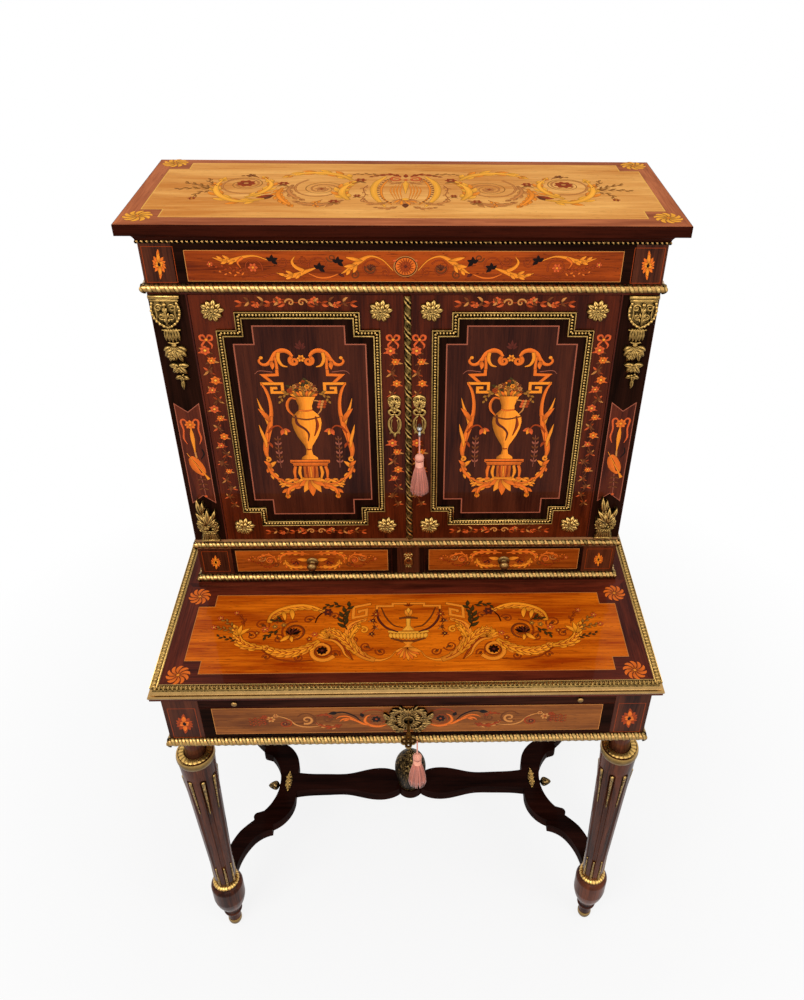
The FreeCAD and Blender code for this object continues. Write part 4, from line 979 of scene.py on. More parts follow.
    def husks(self, top, foot, count, width, tones=("rose", "orange")):
        """Falling garland of blossoms, buds and small leaves between two points."""
        top, foot = Vector(top), Vector(foot)
        buds = []
        for k in range(count):
            spot = top.lerp(foot, (k + 0.5) / count)
            buds.append((spot.x + width * (0.19 if k % 2 else -0.19) * (1.2, 0.8, 1.0)[k % 3], spot.y))
        self.ribbon([top, *buds, foot], [1.2, 1.2, 0.8], "brown", edge=0.2)
        for k, (x, y) in enumerate(buds):
            size = width * (0.42 - 0.12 * k / count) * (1.0, 0.8, 0.66)[k % 3]
            slim = 1 - 0.25 * k / count
            for j, turn in enumerate((132, -126, 62, -66)):
                self.petal((x, y), 90 + turn + 11 * ((k + j) % 3 - 1), width * slim * (0.68 if j < 2 else 0.52),
                           width * 0.2 * slim, -26 if turn > 0 else 26, ("rose", "brown", "tan", "rust")[(k + j) % 4],
                           (0.5, 0.85, 0.95))
            if k % 3 == 2 or k > count * 0.66 and k % 5 != 3:
                self.petal((x, y + size * 0.8), -90 + 24 * (k % 3 - 1), size * 2, size, 20, "brown")
            else:
                self.flower((x, y), size, 6, tones[k % 2], "yellow", 90 + 36 * (k % 3), 0.8)

    def bow(self, middle, size, tone="rose"):
        """Ribbon bow with two loops and two tails."""
        x, y = middle
        for side in (-1, 1):
            self.ribbon([(x, y), (x + side * size * 0.4, y + size * 0.75), (x + side * size * 0.95, y + size * 0.6),
                         (x + side * size * 0.85, y), (x + side * size * 0.3, y - size * 0.12), (x, y)],
                        [1.8, 3.4, 3.6, 3.2, 2.4, 1.8], tone, along=(0.7, 1.1, 0.8))
            self.ribbon([(x, y), (x + side * size * 0.45, y - size * 0.5), (x + side * size * 0.8, y - size * 1.0),
                         (x + side * size * 0.66, y - size * 1.6)], [1.6, 3.2, 3.2, 1.2], tone,
                        along=(0.7, 1.1, 0.8))
        self.disc(middle, size * 0.24, "amber")

    def lozenge(self, middle, width, height, tone="orange"):
        """Corner ornament: leaves that fill a diamond round a dark heart."""
        x, y = middle
        for ring, count, shade in ((1.0, 12, tone), (0.6, 6, "orange" if tone == "rust" else "amber")):
            for k in range(count):
                angle = 360 * k / count + (0 if ring == 1 else 30)
                far = math.radians(angle)
                reach = ring / (abs(math.cos(far)) / width + abs(math.sin(far)) / height) * 0.5
                reach *= 1.25 if k % 3 else 1.0
                self.petal((x, y), angle, reach, width * 0.27, 12, shade, (0.4, 1.0, 1.1), full=1.15)
        self.petal((x, y - width * 0.16), 90, width * 0.32, width * 0.2, 0, "dark")

    def finish(self, name, body, *woods, inlay="inlay"):
        """Makes the marquetry's object on a body, in the woods of its fields."""
        self.build(name, [MATERIALS[wood] for wood in (inlay, *woods)], body, "marquetry", smooth=False)


def notched(left, right, low, high, notch):
    """Rectangle with square notches at its corners, anticlockwise."""
    return [(left + notch, low), (right - notch, low), (right - notch, low + notch), (right, low + notch),
            (right, high - notch), (right - notch, high - notch), (right - notch, high), (left + notch, high),
            (left + notch, high - notch), (left, high - notch), (left, low + notch), (left + notch, low + notch)]


def rectangle(side, other, low, high):
    left, right = sorted((side, other))
    return [(left, low), (right, low), (right, high), (left, high)]


def on_level(middle_y, height):
    """Panel on a level top: X and Y in millimetres from its middle."""
    return lambda x, y, lift: (x * MM, (middle_y + y) * MM, height * MM + lift)


def on_front(middle_x, depth, middle_z):
    """Panel on a face that looks to the front."""
    return lambda x, y, lift: ((middle_x + x) * MM, depth * MM - lift, (middle_z + y) * MM)


def on_door(hand):
    """Panel on the left or right door, from the middle of its frame."""
    return on_front(hand * 162, CUPBOARD.front, 1121.5)


def on_side(hand, reach, middle_y, middle_z):
    """Panel on the left or right side of the desk."""
    return lambda x, y, lift: (hand * (reach * MM + lift), (middle_y + x) * MM, (middle_z + y) * MM)


def border(panel, reach, low, high, inner, inner_low, inner_high):
    """Mitred banding round a field, its grain along each side."""
    panel.field([(-reach, low), (reach, low), (inner, inner_low), (-inner, inner_low)], 1)
    panel.field([(reach, high), (-reach, high), (-inner, inner_high), (inner, inner_high)], 1)
    for hand in (-1, 1):
        panel.field([(hand * reach, low), (hand * reach, high), (hand * inner, inner_high),
                     (hand * inner, inner_low)], 2)


def rinceau(panel, start, end, height, waves, tones, flower, small):
    """Running scrollwork on both sides of a panel's middle: a wave of stem, spirals in its bays and leaves."""
    span = (end - start) / waves
    knots = [(start, 0)]
    for k in range(waves):
        side = 1 if k % 2 == 0 else -1
        knots.append((start + span * (k + 0.5), side * height * 0.8 * (1 - 0.35 * k / waves)))
    knots.append((end, 0))
    panel.ribbon(knots, [2.4 * small, 1.8 * small, 1.0], tones[2])
    for k in range(waves):
        side = 1 if k % 2 == 0 else -1
        x = start + span * (k + 0.5)
        fade = 1 - 0.35 * k / waves
        reach = min(height * 0.72, span * 0.62) * fade
        panel.scroll((x, -side * height * 0.08), reach, reach * 0.22, 90 * side - 30, -side * 1.35,
                     (2.4 * small, 1.8 * small, 1.2), tones[2])
        panel.flower((x, -side * height * 0.08), reach * 0.34, 5, flower)
        panel.leaf([(x - span * 0.52, -side * height * 0.5 * fade), (x - span * 0.3, side * height * 0.35 * fade),
                    (x - span * 0.02, side * height * 0.92 * fade), (x + span * 0.32, side * height * 0.7 * fade)],
                   height * 0.36 * fade, tones[k % 2])
        panel.leaf([(x + span * 0.1, -side * height * 0.66 * fade), (x + span * 0.34, -side * height * 0.9 * fade),
                    (x + span * 0.6, -side * height * 0.62 * fade)], height * 0.24 * fade, tones[(k + 1) % 2], 4)
    for rise in (-1, 0, 1):
        panel.sprig([(end - 2, 0), (end + height * 0.45, rise * height * 0.32),
                     (end + height * 1.0, rise * height * 0.62)], "rust", 4, height * 0.24, height * 0.11,
                    "rust", flower if rise == 0 else None)


def garland(panel, top, foot, width, bow=True):
    if bow:
        panel.bow((top[0], top[1]), width * 0.5)
    panel.husks((top[0], top[1] - width * 0.5), foot, int((top[1] - foot[1]) / (width * 0.95)), width)


def small_garland(panel, middle, reach, height):
    """Level garland that grows both ways from a little knot."""
    x, y = middle
    for side in (-1, 1):
        panel.ribbon([(x, y), (x + side * reach * 0.3, y + height * 0.3), (x + side * reach * 0.6, y - height * 0.25),
                      (x + side * reach, y + height * 0.1)], [1.6, 1.2, 0.8], "rust", edge=0.2)
        panel.scroll((x + side * reach * 0.1, y), height * 0.5, 1.2, 90 - 90 * side, side * 1.2, (2.8, 2.4, 1.6),
                     "tan")
        for k in range(7):
            place = x + side * reach * (0.2 + 0.125 * k)
            rise = height * 0.2 * (1 if k % 2 else -1)
            if k % 3 == 1:
                panel.flower((place, y + rise), height * (0.42 - 0.03 * k), 6, "rose", "amber", 30 * k, 0.8)
            for way in (-1, 1):
                panel.petal((place, y + rise * 0.5), 90 - side * 90 + way * (44 + 22 * (k % 2)),
                            height * (0.7, 0.5, 0.62)[k % 3], height * 0.24, -way * 50,
                            ("brown", "rose", "tan", "rust")[(k + way) % 4], (0.6, 1, 1.1))


class DESK_OT_cornice_top(bpy.types.Operator):
    """Lay the marquetry of the cornice top"""
    bl_idname = "desk.cornice_top"
    bl_label = "Cornice top"

    def execute(self, context):
        top = Inlay(on_level(144.5, CORNICE_HEIGHT), edge=0.36, burnt=(128, 70, 28))
        border(top, 399.3, -151.3, 141.3, 375, -121.5, 123)
        for x, low, high in ((-1, -122.5, -89.5), (1, -122.5, -89.5), (1, 91, 124), (-1, 91, 124)):
            top.field(rectangle(x * 343, x * 376, low, high), 1)
        top.field(notched(-375, 375, -121.5, 123, 31), 3, 1.3, "cream")
        for y in (-118, 123):
            top.whorl((373, y), 19, tone="yellow")
        # Oval strapwork in the middle
        top.ribbon("31,60 44,32 48.5,0 44,-38 29,-76", [4, 9.5, 10.5, 9, 3], "yellow")
        top.ribbon("24,53 34,22 37,-5 33,-40 20,-68", [1.6, 3.4, 3.4, 3, 1], "amber")
        for k in range(15):
            angle = math.radians(56 - 8.2 * k)
            top.disc((41.5 * math.cos(angle), -3 + 72 * math.sin(angle) * 0.92), 1.9, "brown", edge=0)
        top.scroll((14, 47), 13, 3, 120, -1.3, (4.5, 3.5, 2), "rose")
        top.leaf("6,34 16,26 24,34 26,46", 8, "tan", 4)
        top.leaf("8,62 22,70 40,66 56,58", 9, "rust")
        top.sprig("36,66 60,72 84,70", "olive", 7, 8, 3, "rust")
        for k in range(4):
            top.ribbon([(5 + 5 * k, 28 - 5 * k), (8 + 5 * k, -8), (5 + 3.6 * k, -44)], [0.6, 2.2, 0.6], "amber",
                       edge=0.15)
        top.leaf("26,-58 44,-66 58,-56 62,-44", 11, "tan", 4)
        top.leaf("12,-76 26,-84 44,-80", 9, "tan", 4)
        top.mirror = False
        top.ribbon("0,40 0,24 0,4 0,-20", [1, 10, 6, 1], "yellow")
        top.disc((0, 44), 3.4, "rose")
        top.fan((0, -44), -154, 16, 9, 27, 7.5, ("tan", "amber"), 1.2)
        top.disc((0, -45), 5, "yellow")
        top.petal((0, -64), -90, 17, 9, 0, "brown")
        top.petal((0, 56), 90, 16, 7, 0, "rust")
        top.mirror = True
        # Inner scrolls
        top.scroll((127, 0), 47, 9, 60, -1.7, (3.4, 2.6, 1.6), "tan", squash=1.05)
        top.scroll((127, 0), 38, 14, 200, -1.2, (1.6, 1.3, 0.9), "olive", edge=0.1)
        top.flower((127, 0), 10, 6, "tan", "rust")
        top.leaf("84,-48 95,-22 93,6 80,32", 24, "yellow", 6, second="amber")
        top.leaf("84,42 100,63 130,77 162,74 188,56", 24, "yellow", 6, second="amber")
        top.leaf("186,4 190,-24 180,-52 164,-76", 17, "amber", 6)
        top.leaf("92,-50 112,-66 138,-68 162,-56", 16, "tan", 6)
        top.leaf("172,18 176,-8 166,-34 150,-50", 14, "tan")
        for x, y, r in ((70, 42, 9.5), (187, 24, 9), (105, -55, 8), (72, -30, 6)):
            top.flower((x, y), r, 6, "rust", "tan")
            for way in (-1, 1):
                top.petal((x, y - r * 0.6), -90 + way * 38, r * 1.3, r * 0.5, way * 24, "olive", (0.7, 1, 1.1))
        top.petal((196, -30), -28, 26, 13, 16, "rust")
        top.petal((198, -34), -48, 22, 9, 10, "brown")
        top.sprig("58,18 64,0 60,-26 66,-50", "tan", 7, 8, 3, "rust")
        top.sprig("122,-48 132,-62 128,-80", "amber", 5, 9, 4, "rust")
        # Outer scrolls
        top.scroll((245, 20), 46, 8, -120, 1.75, (3.2, 2.4, 1.4), "tan")
        top.scroll((245, 20), 34, 16, 30, 1.1, (1.6, 1.3, 0.9), "olive", edge=0.1)
        top.leaf("207,-45 244,-56 274,-32 287,8 280,50", 23, "yellow", 7, second="amber")
        top.leaf("236,-40 214,-16 205,20 222,56", 19, "yellow", 6, second="amber")
        top.flower((244, 24), 15, 8, "rust", "tan", 10)
        top.flower((242, 62), 7.5, 5, "brown", "tan")
        top.sprig("228,50 238,62 256,58", "olive", 4, 8, 3, "rust")
        top.sprig("290,0 312,16 338,28", "olive", 8, 11, 3.4, "brown")
        top.sprig("290,0 318,2 346,-4", "olive", 8, 11, 3.4, "brown")
        top.sprig("290,-6 308,-20 313,-44", "olive", 6, 10, 3.2, "brown", "rust")
        top.sprig("286,12 300,30 302,46", "olive", 5, 9, 3, "brown")
        top.finish("cornice_marquetry", "desk", "cornice_border", "cornice_side", "cornice_field",
                   inlay="inlay_satin")
        return {"FINISHED"}


class DESK_OT_writing_top(bpy.types.Operator):
    """Lay the marquetry of the table top"""
    bl_idname = "desk.writing_top"
    bl_label = "Table top"

    def execute(self, context):
        top = Inlay(on_level(-117.5, TABLE_HEIGHT), edge=0.5, burnt=(78, 26, 4))
        border(top, 401.4, -111.4, 123, 371, -90.5, 90)
        top.pair(360, 401.4, 123, 403.5, 2)
        for x in (-1, 1):
            for low, high in ((-91, -62), (61, 91)):
                top.field(rectangle(x * 342, x * 372, low, high), 1)
        top.field(notched(-371, 371, -90.5, 90, 28), 3, 0.9)
        for y in (-92, 88):
            top.whorl((375, y), 18)
        top.mirror = False
        # Bowl on its foot
        top.ribbon("0,55 0,45 0,30", [1.5, 12, 4], "yellow")
        for way in (-1, 1):
            top.petal((0, 34), 90 + way * 28, 18, 6, -way * 20, "amber")
            top.petal((0, 60), 90 + way * 50, 16, 6, way * 20, "rust")
        top.ribbon("-16,30 0,32 16,30", [3, 4.5, 3], "brown")
        top.ribbon("0,29 0,12 0,1", [8, 6, 22], "yellow")
        top.ribbon("-35,-1 0,-4 35,-1", [4, 5.5, 4], "yellow")
        for k in range(-5, 6):
            top.petal((k * 6.2, -5), -90 - k * 2.2, 15.5 - abs(k) * 0.7, 6.8, 0, "yellow", (0.8, 1.05, 0.7))
        top.ribbon("-29,-17 0,-25 29,-17", [2, 6, 2], "brown")
        top.ribbon("0,-25 0,-32 0,-40", [18, 7, 26], "amber")
        top.fan((0, -39), -160, 17.5, 9, 27, 8.5, ("amber", "orange"), 0.8)
        top.mirror = True
        # Bracket, drapes and fret
        top.straight("3,66 28,66 28,60 56,60 56,50", 4.2, edge=0.7)
        top.ribbon("56,52 52,28 38,8 18,-2", [2, 3.6, 3.6, 2], "plum")
        top.ribbon("48,56 40,34 26,14 10,8", [1.2, 2, 2, 1.2], "brown")
        top.husks((60, 48), (60, -14), 4, 13, ("rust", "plum"))
        top.straight("67,66 97,58 97,32 74,38 74,52 87,48 87,44", 5.2, edge=0.7)
        # Fine scrolls behind
        for x, y, reach, start, turns in ((72, -34, 13, 200, 1.5), (46, -46, 10, 20, -1.4), (222, -16, 12, 60, 1.5),
                                          (174, 28, 11, 160, -1.4), (128, 36, 10, 0, 1.3), (255, 18, 15, 200, -1.5),
                                          (268, -8, 12, 40, 1.4), (124, -50, 10, 200, -1.3), (92, -20, 8, 0, 1.3),
                                          (222, 30, 10, 300, 1.4), (182, -58, 9, 60, -1.3), (236, -56, 8, 0, 1.2)):
            top.scroll((x, y), reach, 2.4, start, turns, (1.8, 1.5, 1.0), "rust")
            top.petal((x, y), start, reach * 0.7, reach * 0.26, 30, "brown")
        # Acanthus beside the bowl, with its curl
        top.ribbon("22,-46 30,-58 46,-65 64,-63", [0.8, 2.0, 4.2, 7.5], "amber")
        top.leaf("56,-65 78,-54 94,-34 103,-10 101,10 91,22 72,31", 19, "amber", 9, (1,), (40, 24), 0.8, False,
                 "bright")
        top.leaf("100,-16 94,0 86,12", 12, "bright", 4)
        top.scroll((77, 3), 8, 2.2, 60, 1.2, (4.6, 3.6, 2.4), "bright")
        # Slanting acanthus that opens as a fan
        top.ribbon("92,-64 104,-42 116,-24 132,-14", [1, 3.8, 4.2, 1.4], "rust")
        top.fan((134, -14), 4, 20, 9, 25, 8.4, ("amber", "bright"), 0.6)
        top.leaf("88,-50 101,-30 114,-13 130,-3 145,-2", 18, "bright", 7, (1, -1), (36, 20), 0.72, second="amber")
        # Lower spiral
        top.ribbon("144,-18 126,-22 113,-36 106,-52 95,-63", [2, 4.8, 4.6, 3, 0.8], "amber")
        top.scroll((145, -43), 24, 8, -150, 1.35, (7.6, 6.4, 3.4), "amber")
        top.scroll((145, -43), 17, 11, 100, 0.9, (1.4, 1.2, 1.0), "rust")
        top.flower((145, -43), 9, 8, "dark", "plum")
        top.leaf("152,-21 168,-35 187,-44 207,-47 227,-43 244,-33", 19, "bright", 8, (-1, 1), (40, 22), 0.7,
                 second="amber")
        top.ribbon("158,-64 190,-66 222,-59 250,-38", [0.8, 1.8, 1.8, 0.8], "rust")
        # Upper spiral with its palmette
        top.scroll((196, 0), 25, 9, 95, -1.65, (2.0, 1.6, 1.1), "rust")
        top.scroll((196, 0), 19, 12, 250, -1.1, (1.4, 1.2, 0.9), edge=0.25)
        top.fan((198, -6), 30, 20, 7, 15, 5.6, ("dark", "plum"))
        top.petal((204, -8), -52, 20, 8, 20, "bright")
        top.petal((200, -10), -92, 14, 6, -20, "bright")
        top.leaf("242,22 237,40 219,53 195,60 169,58 147,48", 20, "bright", 8, (1,), (40, 24), 0.72, second="amber")
        top.petal((208, 54), -112, 26, 8, 24, "bright")
        top.petal((222, 48), -118, 22, 7, 24, "bright")
        # Outer acanthus
        top.leaf("246,-36 268,-32 284,-22 293,-5 301,14", 18, "bright", 7, (1, -1), (38, 20), 0.7, second="amber")
        for angle, bend in ((128, 24), (96, 6), (58, -24)):
            top.petal((292, -8), angle, 25, 7.5, bend, "bright")
        # Leaves, blossoms and sprays
        top.sprig("106,4 113,24 112,44 103,64", "green", 9, 17, 6.5, "dark", None, 1.3)
        top.sprig("114,60 132,64 152,58", "green", 5, 11, 4.4)
        top.ribbon("152,44 159,34 162,21", [1.8, 1.2], "dark")
        top.flower((142, 46), 9, 6, "plum", "rust")
        for x, y, reach, tone in ((247, 6, 7, "rose"), (231, 13, 5.5, "olive"), (260, -2, 5, "rust"),
                                  (161, -6, 6, "rose"), (169, -17, 5.5, "rust"), (216, 16, 5, "olive")):
            top.flower((x, y), reach, 5, tone)
        top.sprig("214,22 226,30 238,26", "green", 4, 10, 4.4)
        top.sprig("222,8 236,-4 248,-14", "green", 5, 10, 4.4)
        top.sprig("298,4 312,22 328,34", "olive", 6, 9, 3.6, "rust", "rose")
        top.sprig("296,0 316,8 336,12", "olive", 7, 9, 3.4, "rust", "rose")
        top.sprig("290,-18 308,-14 328,-8", "green", 6, 8, 3.2, "rust")
        top.sprig("284,14 288,30 302,46", "rust", 5, 8, 3, "rust", "rose")
        top.finish("table_marquetry", "desk", "table_border", "table_side", "table_field")
        return {"FINISHED"}


class DESK_OT_frieze(bpy.types.Operator):
    """Lay the marquetry of the frieze over the doors"""
    bl_idname = "desk.frieze"
    bl_label = "Frieze"

    def execute(self, context):
        panel = Inlay(on_front(0, CUPBOARD.front, 1397.5))
        panel.field(rectangle(-331, 331, -27, 34), 2)
        panel.field(rectangle(-314, 314, -23, 23.5), 1, 0.9)
        panel.pair(331, 376.6, -27, 39, 3)
        panel.straight(rectangle(329, 373, -25, 29), 0.8, "rust", True)
        panel.lozenge((351.5, 2.5), 18, 46)
        # Fine scrolls behind
        panel.scroll((50, -3), 14, 8, 150, -0.9, (1.8, 1.4, 1.0), "rust")
        panel.scroll((50, -3), 9, 2.5, 20, -1.5, (1.6, 1.4, 1.0))
        panel.scroll((30, -9), 8, 2, 60, 1.3, (1.6, 1.2, 0.8), "rust")
        panel.scroll((124, 1), 16, 9, -30, 0.8, (1.8, 1.4, 1.0), "rust")
        panel.scroll((146, 9), 9, 2, 200, 1.4, (1.6, 1.2, 0.8), "rust")
        panel.scroll((106, 13), 7, 2, 0, -1.3, (1.6, 1.2, 0.8))
        panel.scroll((176, 7), 10, 2.4, 20, -1.4, (1.6, 1.2, 0.8), "rust")
        panel.scroll((74, -13), 7, 2, 120, 1.2, (1.6, 1.2, 0.8))
        panel.scroll((219, -2), 14, 9, 200, -0.9, (1.8, 1.4, 1.0), "rust")
        panel.ribbon("98,-12 112,-17 126,-17 140,-11", [1.4, 2.6, 2.4, 1.2])
        panel.ribbon("184,-11 198,-14 210,-17 226,-15", [1.2, 1.8, 1.6, 0.8], "rust")
        panel.fan((50, -5), 30, 20, 7, 8.5, 3.0, ("brown", "plum"))
        # Plumes with their lobes
        panel.ribbon("18,-6 33,10 50,15.5 66,8 80,-3 93,-11", [1.2, 1.8, 3.0, 7.4, 6.4, 0.6], "amber")
        for x, y, angle, reach in ((62, 9, 8, 24), (72, 2, -12, 17), (70, 3, -70, 14), (80, -4, -62, 11)):
            panel.petal((x, y), angle, reach, 5.2, 10, "amber", full=1.0)
        panel.ribbon("128,-2 144,-8 158,-13.5 172,-14.5 186,-10", [1.4, 5.6, 7.4, 5, 0.6], "amber")
        panel.ribbon("147,-7 158,-1 162.5,7 158,15", [5.4, 4.8, 3.4, 0.6], "amber")
        for x, y, angle, reach in ((152, -11, -54, 11), (163, -14, -34, 12), (162, -12, 20, 12), (172, -14, 10, 12)):
            panel.petal((x, y), angle, reach, 4.4, 14, "amber", full=1.0)
        panel.ribbon("196,9 214,15.5 231,14 246,9 260,8.5 275,13", [1.2, 2.2, 4.4, 6.6, 5, 0.6], "amber")
        panel.ribbon("232,13 240,6 236,-3", [4.4, 3.0, 0.6])
        for x, y, angle, reach in ((244, 9, -40, 11), (254, 8, -28, 11), (250, 10, 26, 12), (260, 9, 30, 11)):
            panel.petal((x, y), angle, reach, 4.2, 14, "amber", full=1.0)
        panel.flower((219, -2), 7, 6, "rose", "amber")
        for x, y in ((97, 6), (124, -3), (191, 8.5)):
            panel.fan((x, y), 25, 62, 4, 9, 5.2, ("dark",), bend=18)
        panel.petal((96, -12), -160, 8, 4, 20, "plum")
        panel.sprig("230,-4 252,-4 280,3", "rust", 8, 7, 3.2, "rust", "rose")
        panel.sprig("228,-8 246,-12 270,-9", "orange", 6, 6, 2.6, "rust")
        # Medallion
        panel.mirror = False
        panel.disc((0, 0), 17.4, "tan", 0.92, edge=0.5)
        panel.disc((0, 0), 16, "dark", 0.92, edge=0)
        panel.disc((0, 0), 14.6, "orange", 0.92, edge=0.3)
        panel.fan((0, 0), 0, 20, 18, 13, 2.2, ("rust",), bend=12, along=(0.6, 0.9, 0.9), edge=0.15)
        panel.flower((0, 0), 7, 8, "rust", "plum")
        for x in (-15.5, 15.5):
            panel.disc((x, 9), 2.2, "rose")
        panel.finish("frieze_marquetry", "desk", "frieze_field", "black", "block")
        return {"FINISHED"}


URN = spots("14,-65 13,-61 6,-55 4.5,-46 6,-38 10,-31 17,-18 22,-4 24,8 23,18 17,26 11,32 10.5,40 13.5,49 17,57")


def draw_urn(panel):
    """Vase of flowers on a pedestal, the middle of each door."""
    panel.mirror = False
    for k in range(7):
        panel.petal((0, -104), -168 + 26 * k, 38 - abs(k - 3) * 5, 14 - abs(k - 3) * 1.5, 0,
                    "orange" if k % 2 else "amber", (0.4, 0.95, 1.1))
    panel.turned([(half, 0, y) for half, y in URN], "amber", (0.32, 1.1, 1.2), 0.7)
    panel.ribbon("-17,22 -15,6 -4,-4 2,-14 0,-28", [2.4, 4.6, 3.6, 3, 1], "plum", edge=0.2)
    panel.ribbon("15,20 17,2 11,-18", [2.2, 5.4, 1.4], "rust", (1.0, 0.7, 0.3), edge=0.2)
    panel.ribbon("-23,19 0,14 23,19", [1.8, 2.6, 1.8], "brown", edge=0.3)
    panel.ribbon("-11,32 0,30.5 11,32", [2.4, 2.4, 2.4])
    panel.ribbon("-3.5,-44 0,-45 3.5,-44", [1.8, 1.8, 1.8], "rust")
    slab = [(33, -66), (33, -71), (29, -74), (29, -78)]
    panel.lay([Vector((-x, y)) for x, y in slab], [Vector((x, y)) for x, y in slab], "orange", (0.85, 1.1, 0.8),
              (1.1, 0.7), 0.6)
    panel.ribbon("-31,-70.5 31,-70.5", [1.6, 1.6], "dark", edge=0)
    panel.lay([Vector((-12, y)) for y in (-79, -104)], [Vector((12, y)) for y in (-79, -104)], "orange",
              (0.6, 1.05, 0.7), (1, 0.75), 0.5)
    for x in (-6.5, 0, 6.5):
        panel.ribbon([(x, -80), (x, -92), (x * 0.8, -103)], [2, 3, 1.4], "rust" if x else "amber", edge=0.4)
    panel.ribbon("-15,-105.5 15,-105.5", [3.4, 3.4], "amber", edge=0.4)
    chance = random.Random(11)
    for k in range(34):
        angle = math.radians(8 + 164 * ((k * 0.618) % 1))
        reach = 8 + 18 * ((k * 0.41) % 1)
        x, y = reach * math.cos(angle) * 1.0, 60 + reach * math.sin(angle) * 0.95
        tone = ("olive", "tan", "brown", "amber", "olive", "rust")[k % 6]
        if k % 3 == 0:
            panel.petal((x, y), math.degrees(angle) + chance.uniform(-40, 40), 11, 5.4, 14, "green", (0.8, 1, 1.2))
        panel.flower((x, y), chance.uniform(3.6, 5.2), 5 + k % 2, tone, "rust", 20 * k, 0.85)
    for k in range(9):
        panel.petal((3 * (k - 4), 58), 90 - 17 * (k - 4), 11, 5, 12, ("amber", "olive", "orange")[k % 3])
    panel.ribbon("-20,22 -27,32 -28,44 -22,54 -13,52", [2.4, 4.4, 4.8, 4, 2.2], "orange", (1.1, 0.8, 0.4))
    panel.ribbon("19,24 25,34 22,48 13,50", [1.6, 2.6, 2.6, 1.6], "tan")
    for k in range(9):
        panel.disc((24 + 4.4 * (k % 3) - 1.4 * (k // 3), 48 - 5 * (k // 3)), 2.6, ("rose", "tan", "rust")[k % 3])
    panel.mirror = True
    panel.sprig("20,62 28,64 36,56 38,46", "olive", 6, 8, 4, "rust")
    panel.ribbon("17,-79 19,-92 16.5,-104", [4.4, 5.4, 3], "amber")
    panel.ribbon("25,-79 27.5,-90 27,-104", [5, 5.4, 3.2])
    panel.disc((27, -106), 3.4)


def draw_arabesque(panel):
    """Scrolled frame of leaves and straps round the vase."""
    panel.scroll((11, 121), 8.5, 2.2, 70, -1.4, (5.4, 4.6, 2.6), "orange")
    panel.ribbon("13,129 19,137 29,139.5 39,134 45,124 52,116 60,115 65,121 61,128",
                 [4, 6.4, 7.6, 7, 6.4, 5.6, 4.6, 3.6, 2.4], "orange", (1.1, 1.0, 0.6), count=49)
    panel.disc((61, 127), 2.8, "amber")
    panel.ribbon("34,136 35,124 30,114 22,111", [5.4, 5.4, 4, 1.4], "amber")
    panel.petal((47, 121), -112, 15, 7, 40)
    panel.ribbon("40,128 38.5,112 39,98", [3, 4.6, 4.6])
    panel.straight("39,106 39,97 61,96 46,81", 4.8, "orange", edge=0.5)
    panel.straight("67,81 33,81 33,65 50,65 50,73 41,73", 4.8, edge=0.5)
    panel.ribbon("66,82 59,68 55,48 55,26 59,8", [2.4, 4.6, 5, 6, 8], "orange", (1.1, 1, 0.6))
    panel.ribbon("46,102 66,104 74,98", [1.4, 1.2, 0.6], "mauve", edge=0.2)
    panel.ribbon("75,54 70,34 63,16 61,0", [0.6, 4.4, 7, 4], "amber", (0.7, 1.05, 0.8))
    panel.ribbon("55,20 60,0 67,-24 71,-46 69,-64", [4, 9, 9.6, 8, 4], "orange", (0.7, 1.08, 0.8), (0.9, 1.1, 0.8))
    panel.ribbon("77,4 74,-10 70,-26 69,-40", [0.6, 4.4, 5.6, 2], "amber", (0.7, 1.05, 0.8))
    panel.petal((59, 10), 68, 30, 8, -26)
    panel.petal((66, -30), 222, 14, 5, 40, "rust")
    panel.ribbon("62,2 64,-24 67,-50", [0.6, 1.2, 0.6], "rust", edge=0)
    panel.scroll((69, -65), 5, 1.6, 60, 1.2, (4, 3, 2), "amber")
    panel.ribbon("64,-12 56,-1 46,2 38,-6", [2.6, 3.2, 2.8, 1.8], "rust")
    for way in (-1, 0, 1):
        panel.petal((39, -4), 246 + way * 36, 13, 7, way * 15, "rose" if way else "amber")
    panel.leaf("71,-78 66,-92 55,-106 44,-112", 12, "orange", 4, second="amber")
    panel.petal((68, -82), 120, 18, 7, 30, "amber")
    panel.petal((66, -80), 62, 16, 7, -30)
    panel.leaf("14,-118 28,-120 40,-128 43,-142", 15, "orange", 4, second="amber")
    panel.leaf("18,-112 32,-108 46,-116 52,-112", 11, "amber", 4)
    panel.ribbon("55,-104 42,-114 28,-116", [2.4, 3.4, 2.4])
    panel.ribbon("49,-18 50,-46 49,-82", [0.9, 1.4, 0.9], "mauve", edge=0.2)
    for k in range(6):
        for way in (-1, 1):
            panel.petal((49.5, -26 - 9 * k), 90 + way * 70, 8, 3.4, -way * 60, "mauve" if k % 2 else "brown",
                        (0.8, 1, 1))
    panel.mirror = False
    panel.flower((0, 126), 6.5, 6, "amber", "rust")
    for way in (-2, -1, 0, 1, 2):
        panel.petal((0, 142), 90 + way * 26, 16 - abs(way) * 3, 5, way * 12, "plum", (0.9, 1, 1))
    panel.mirror = True


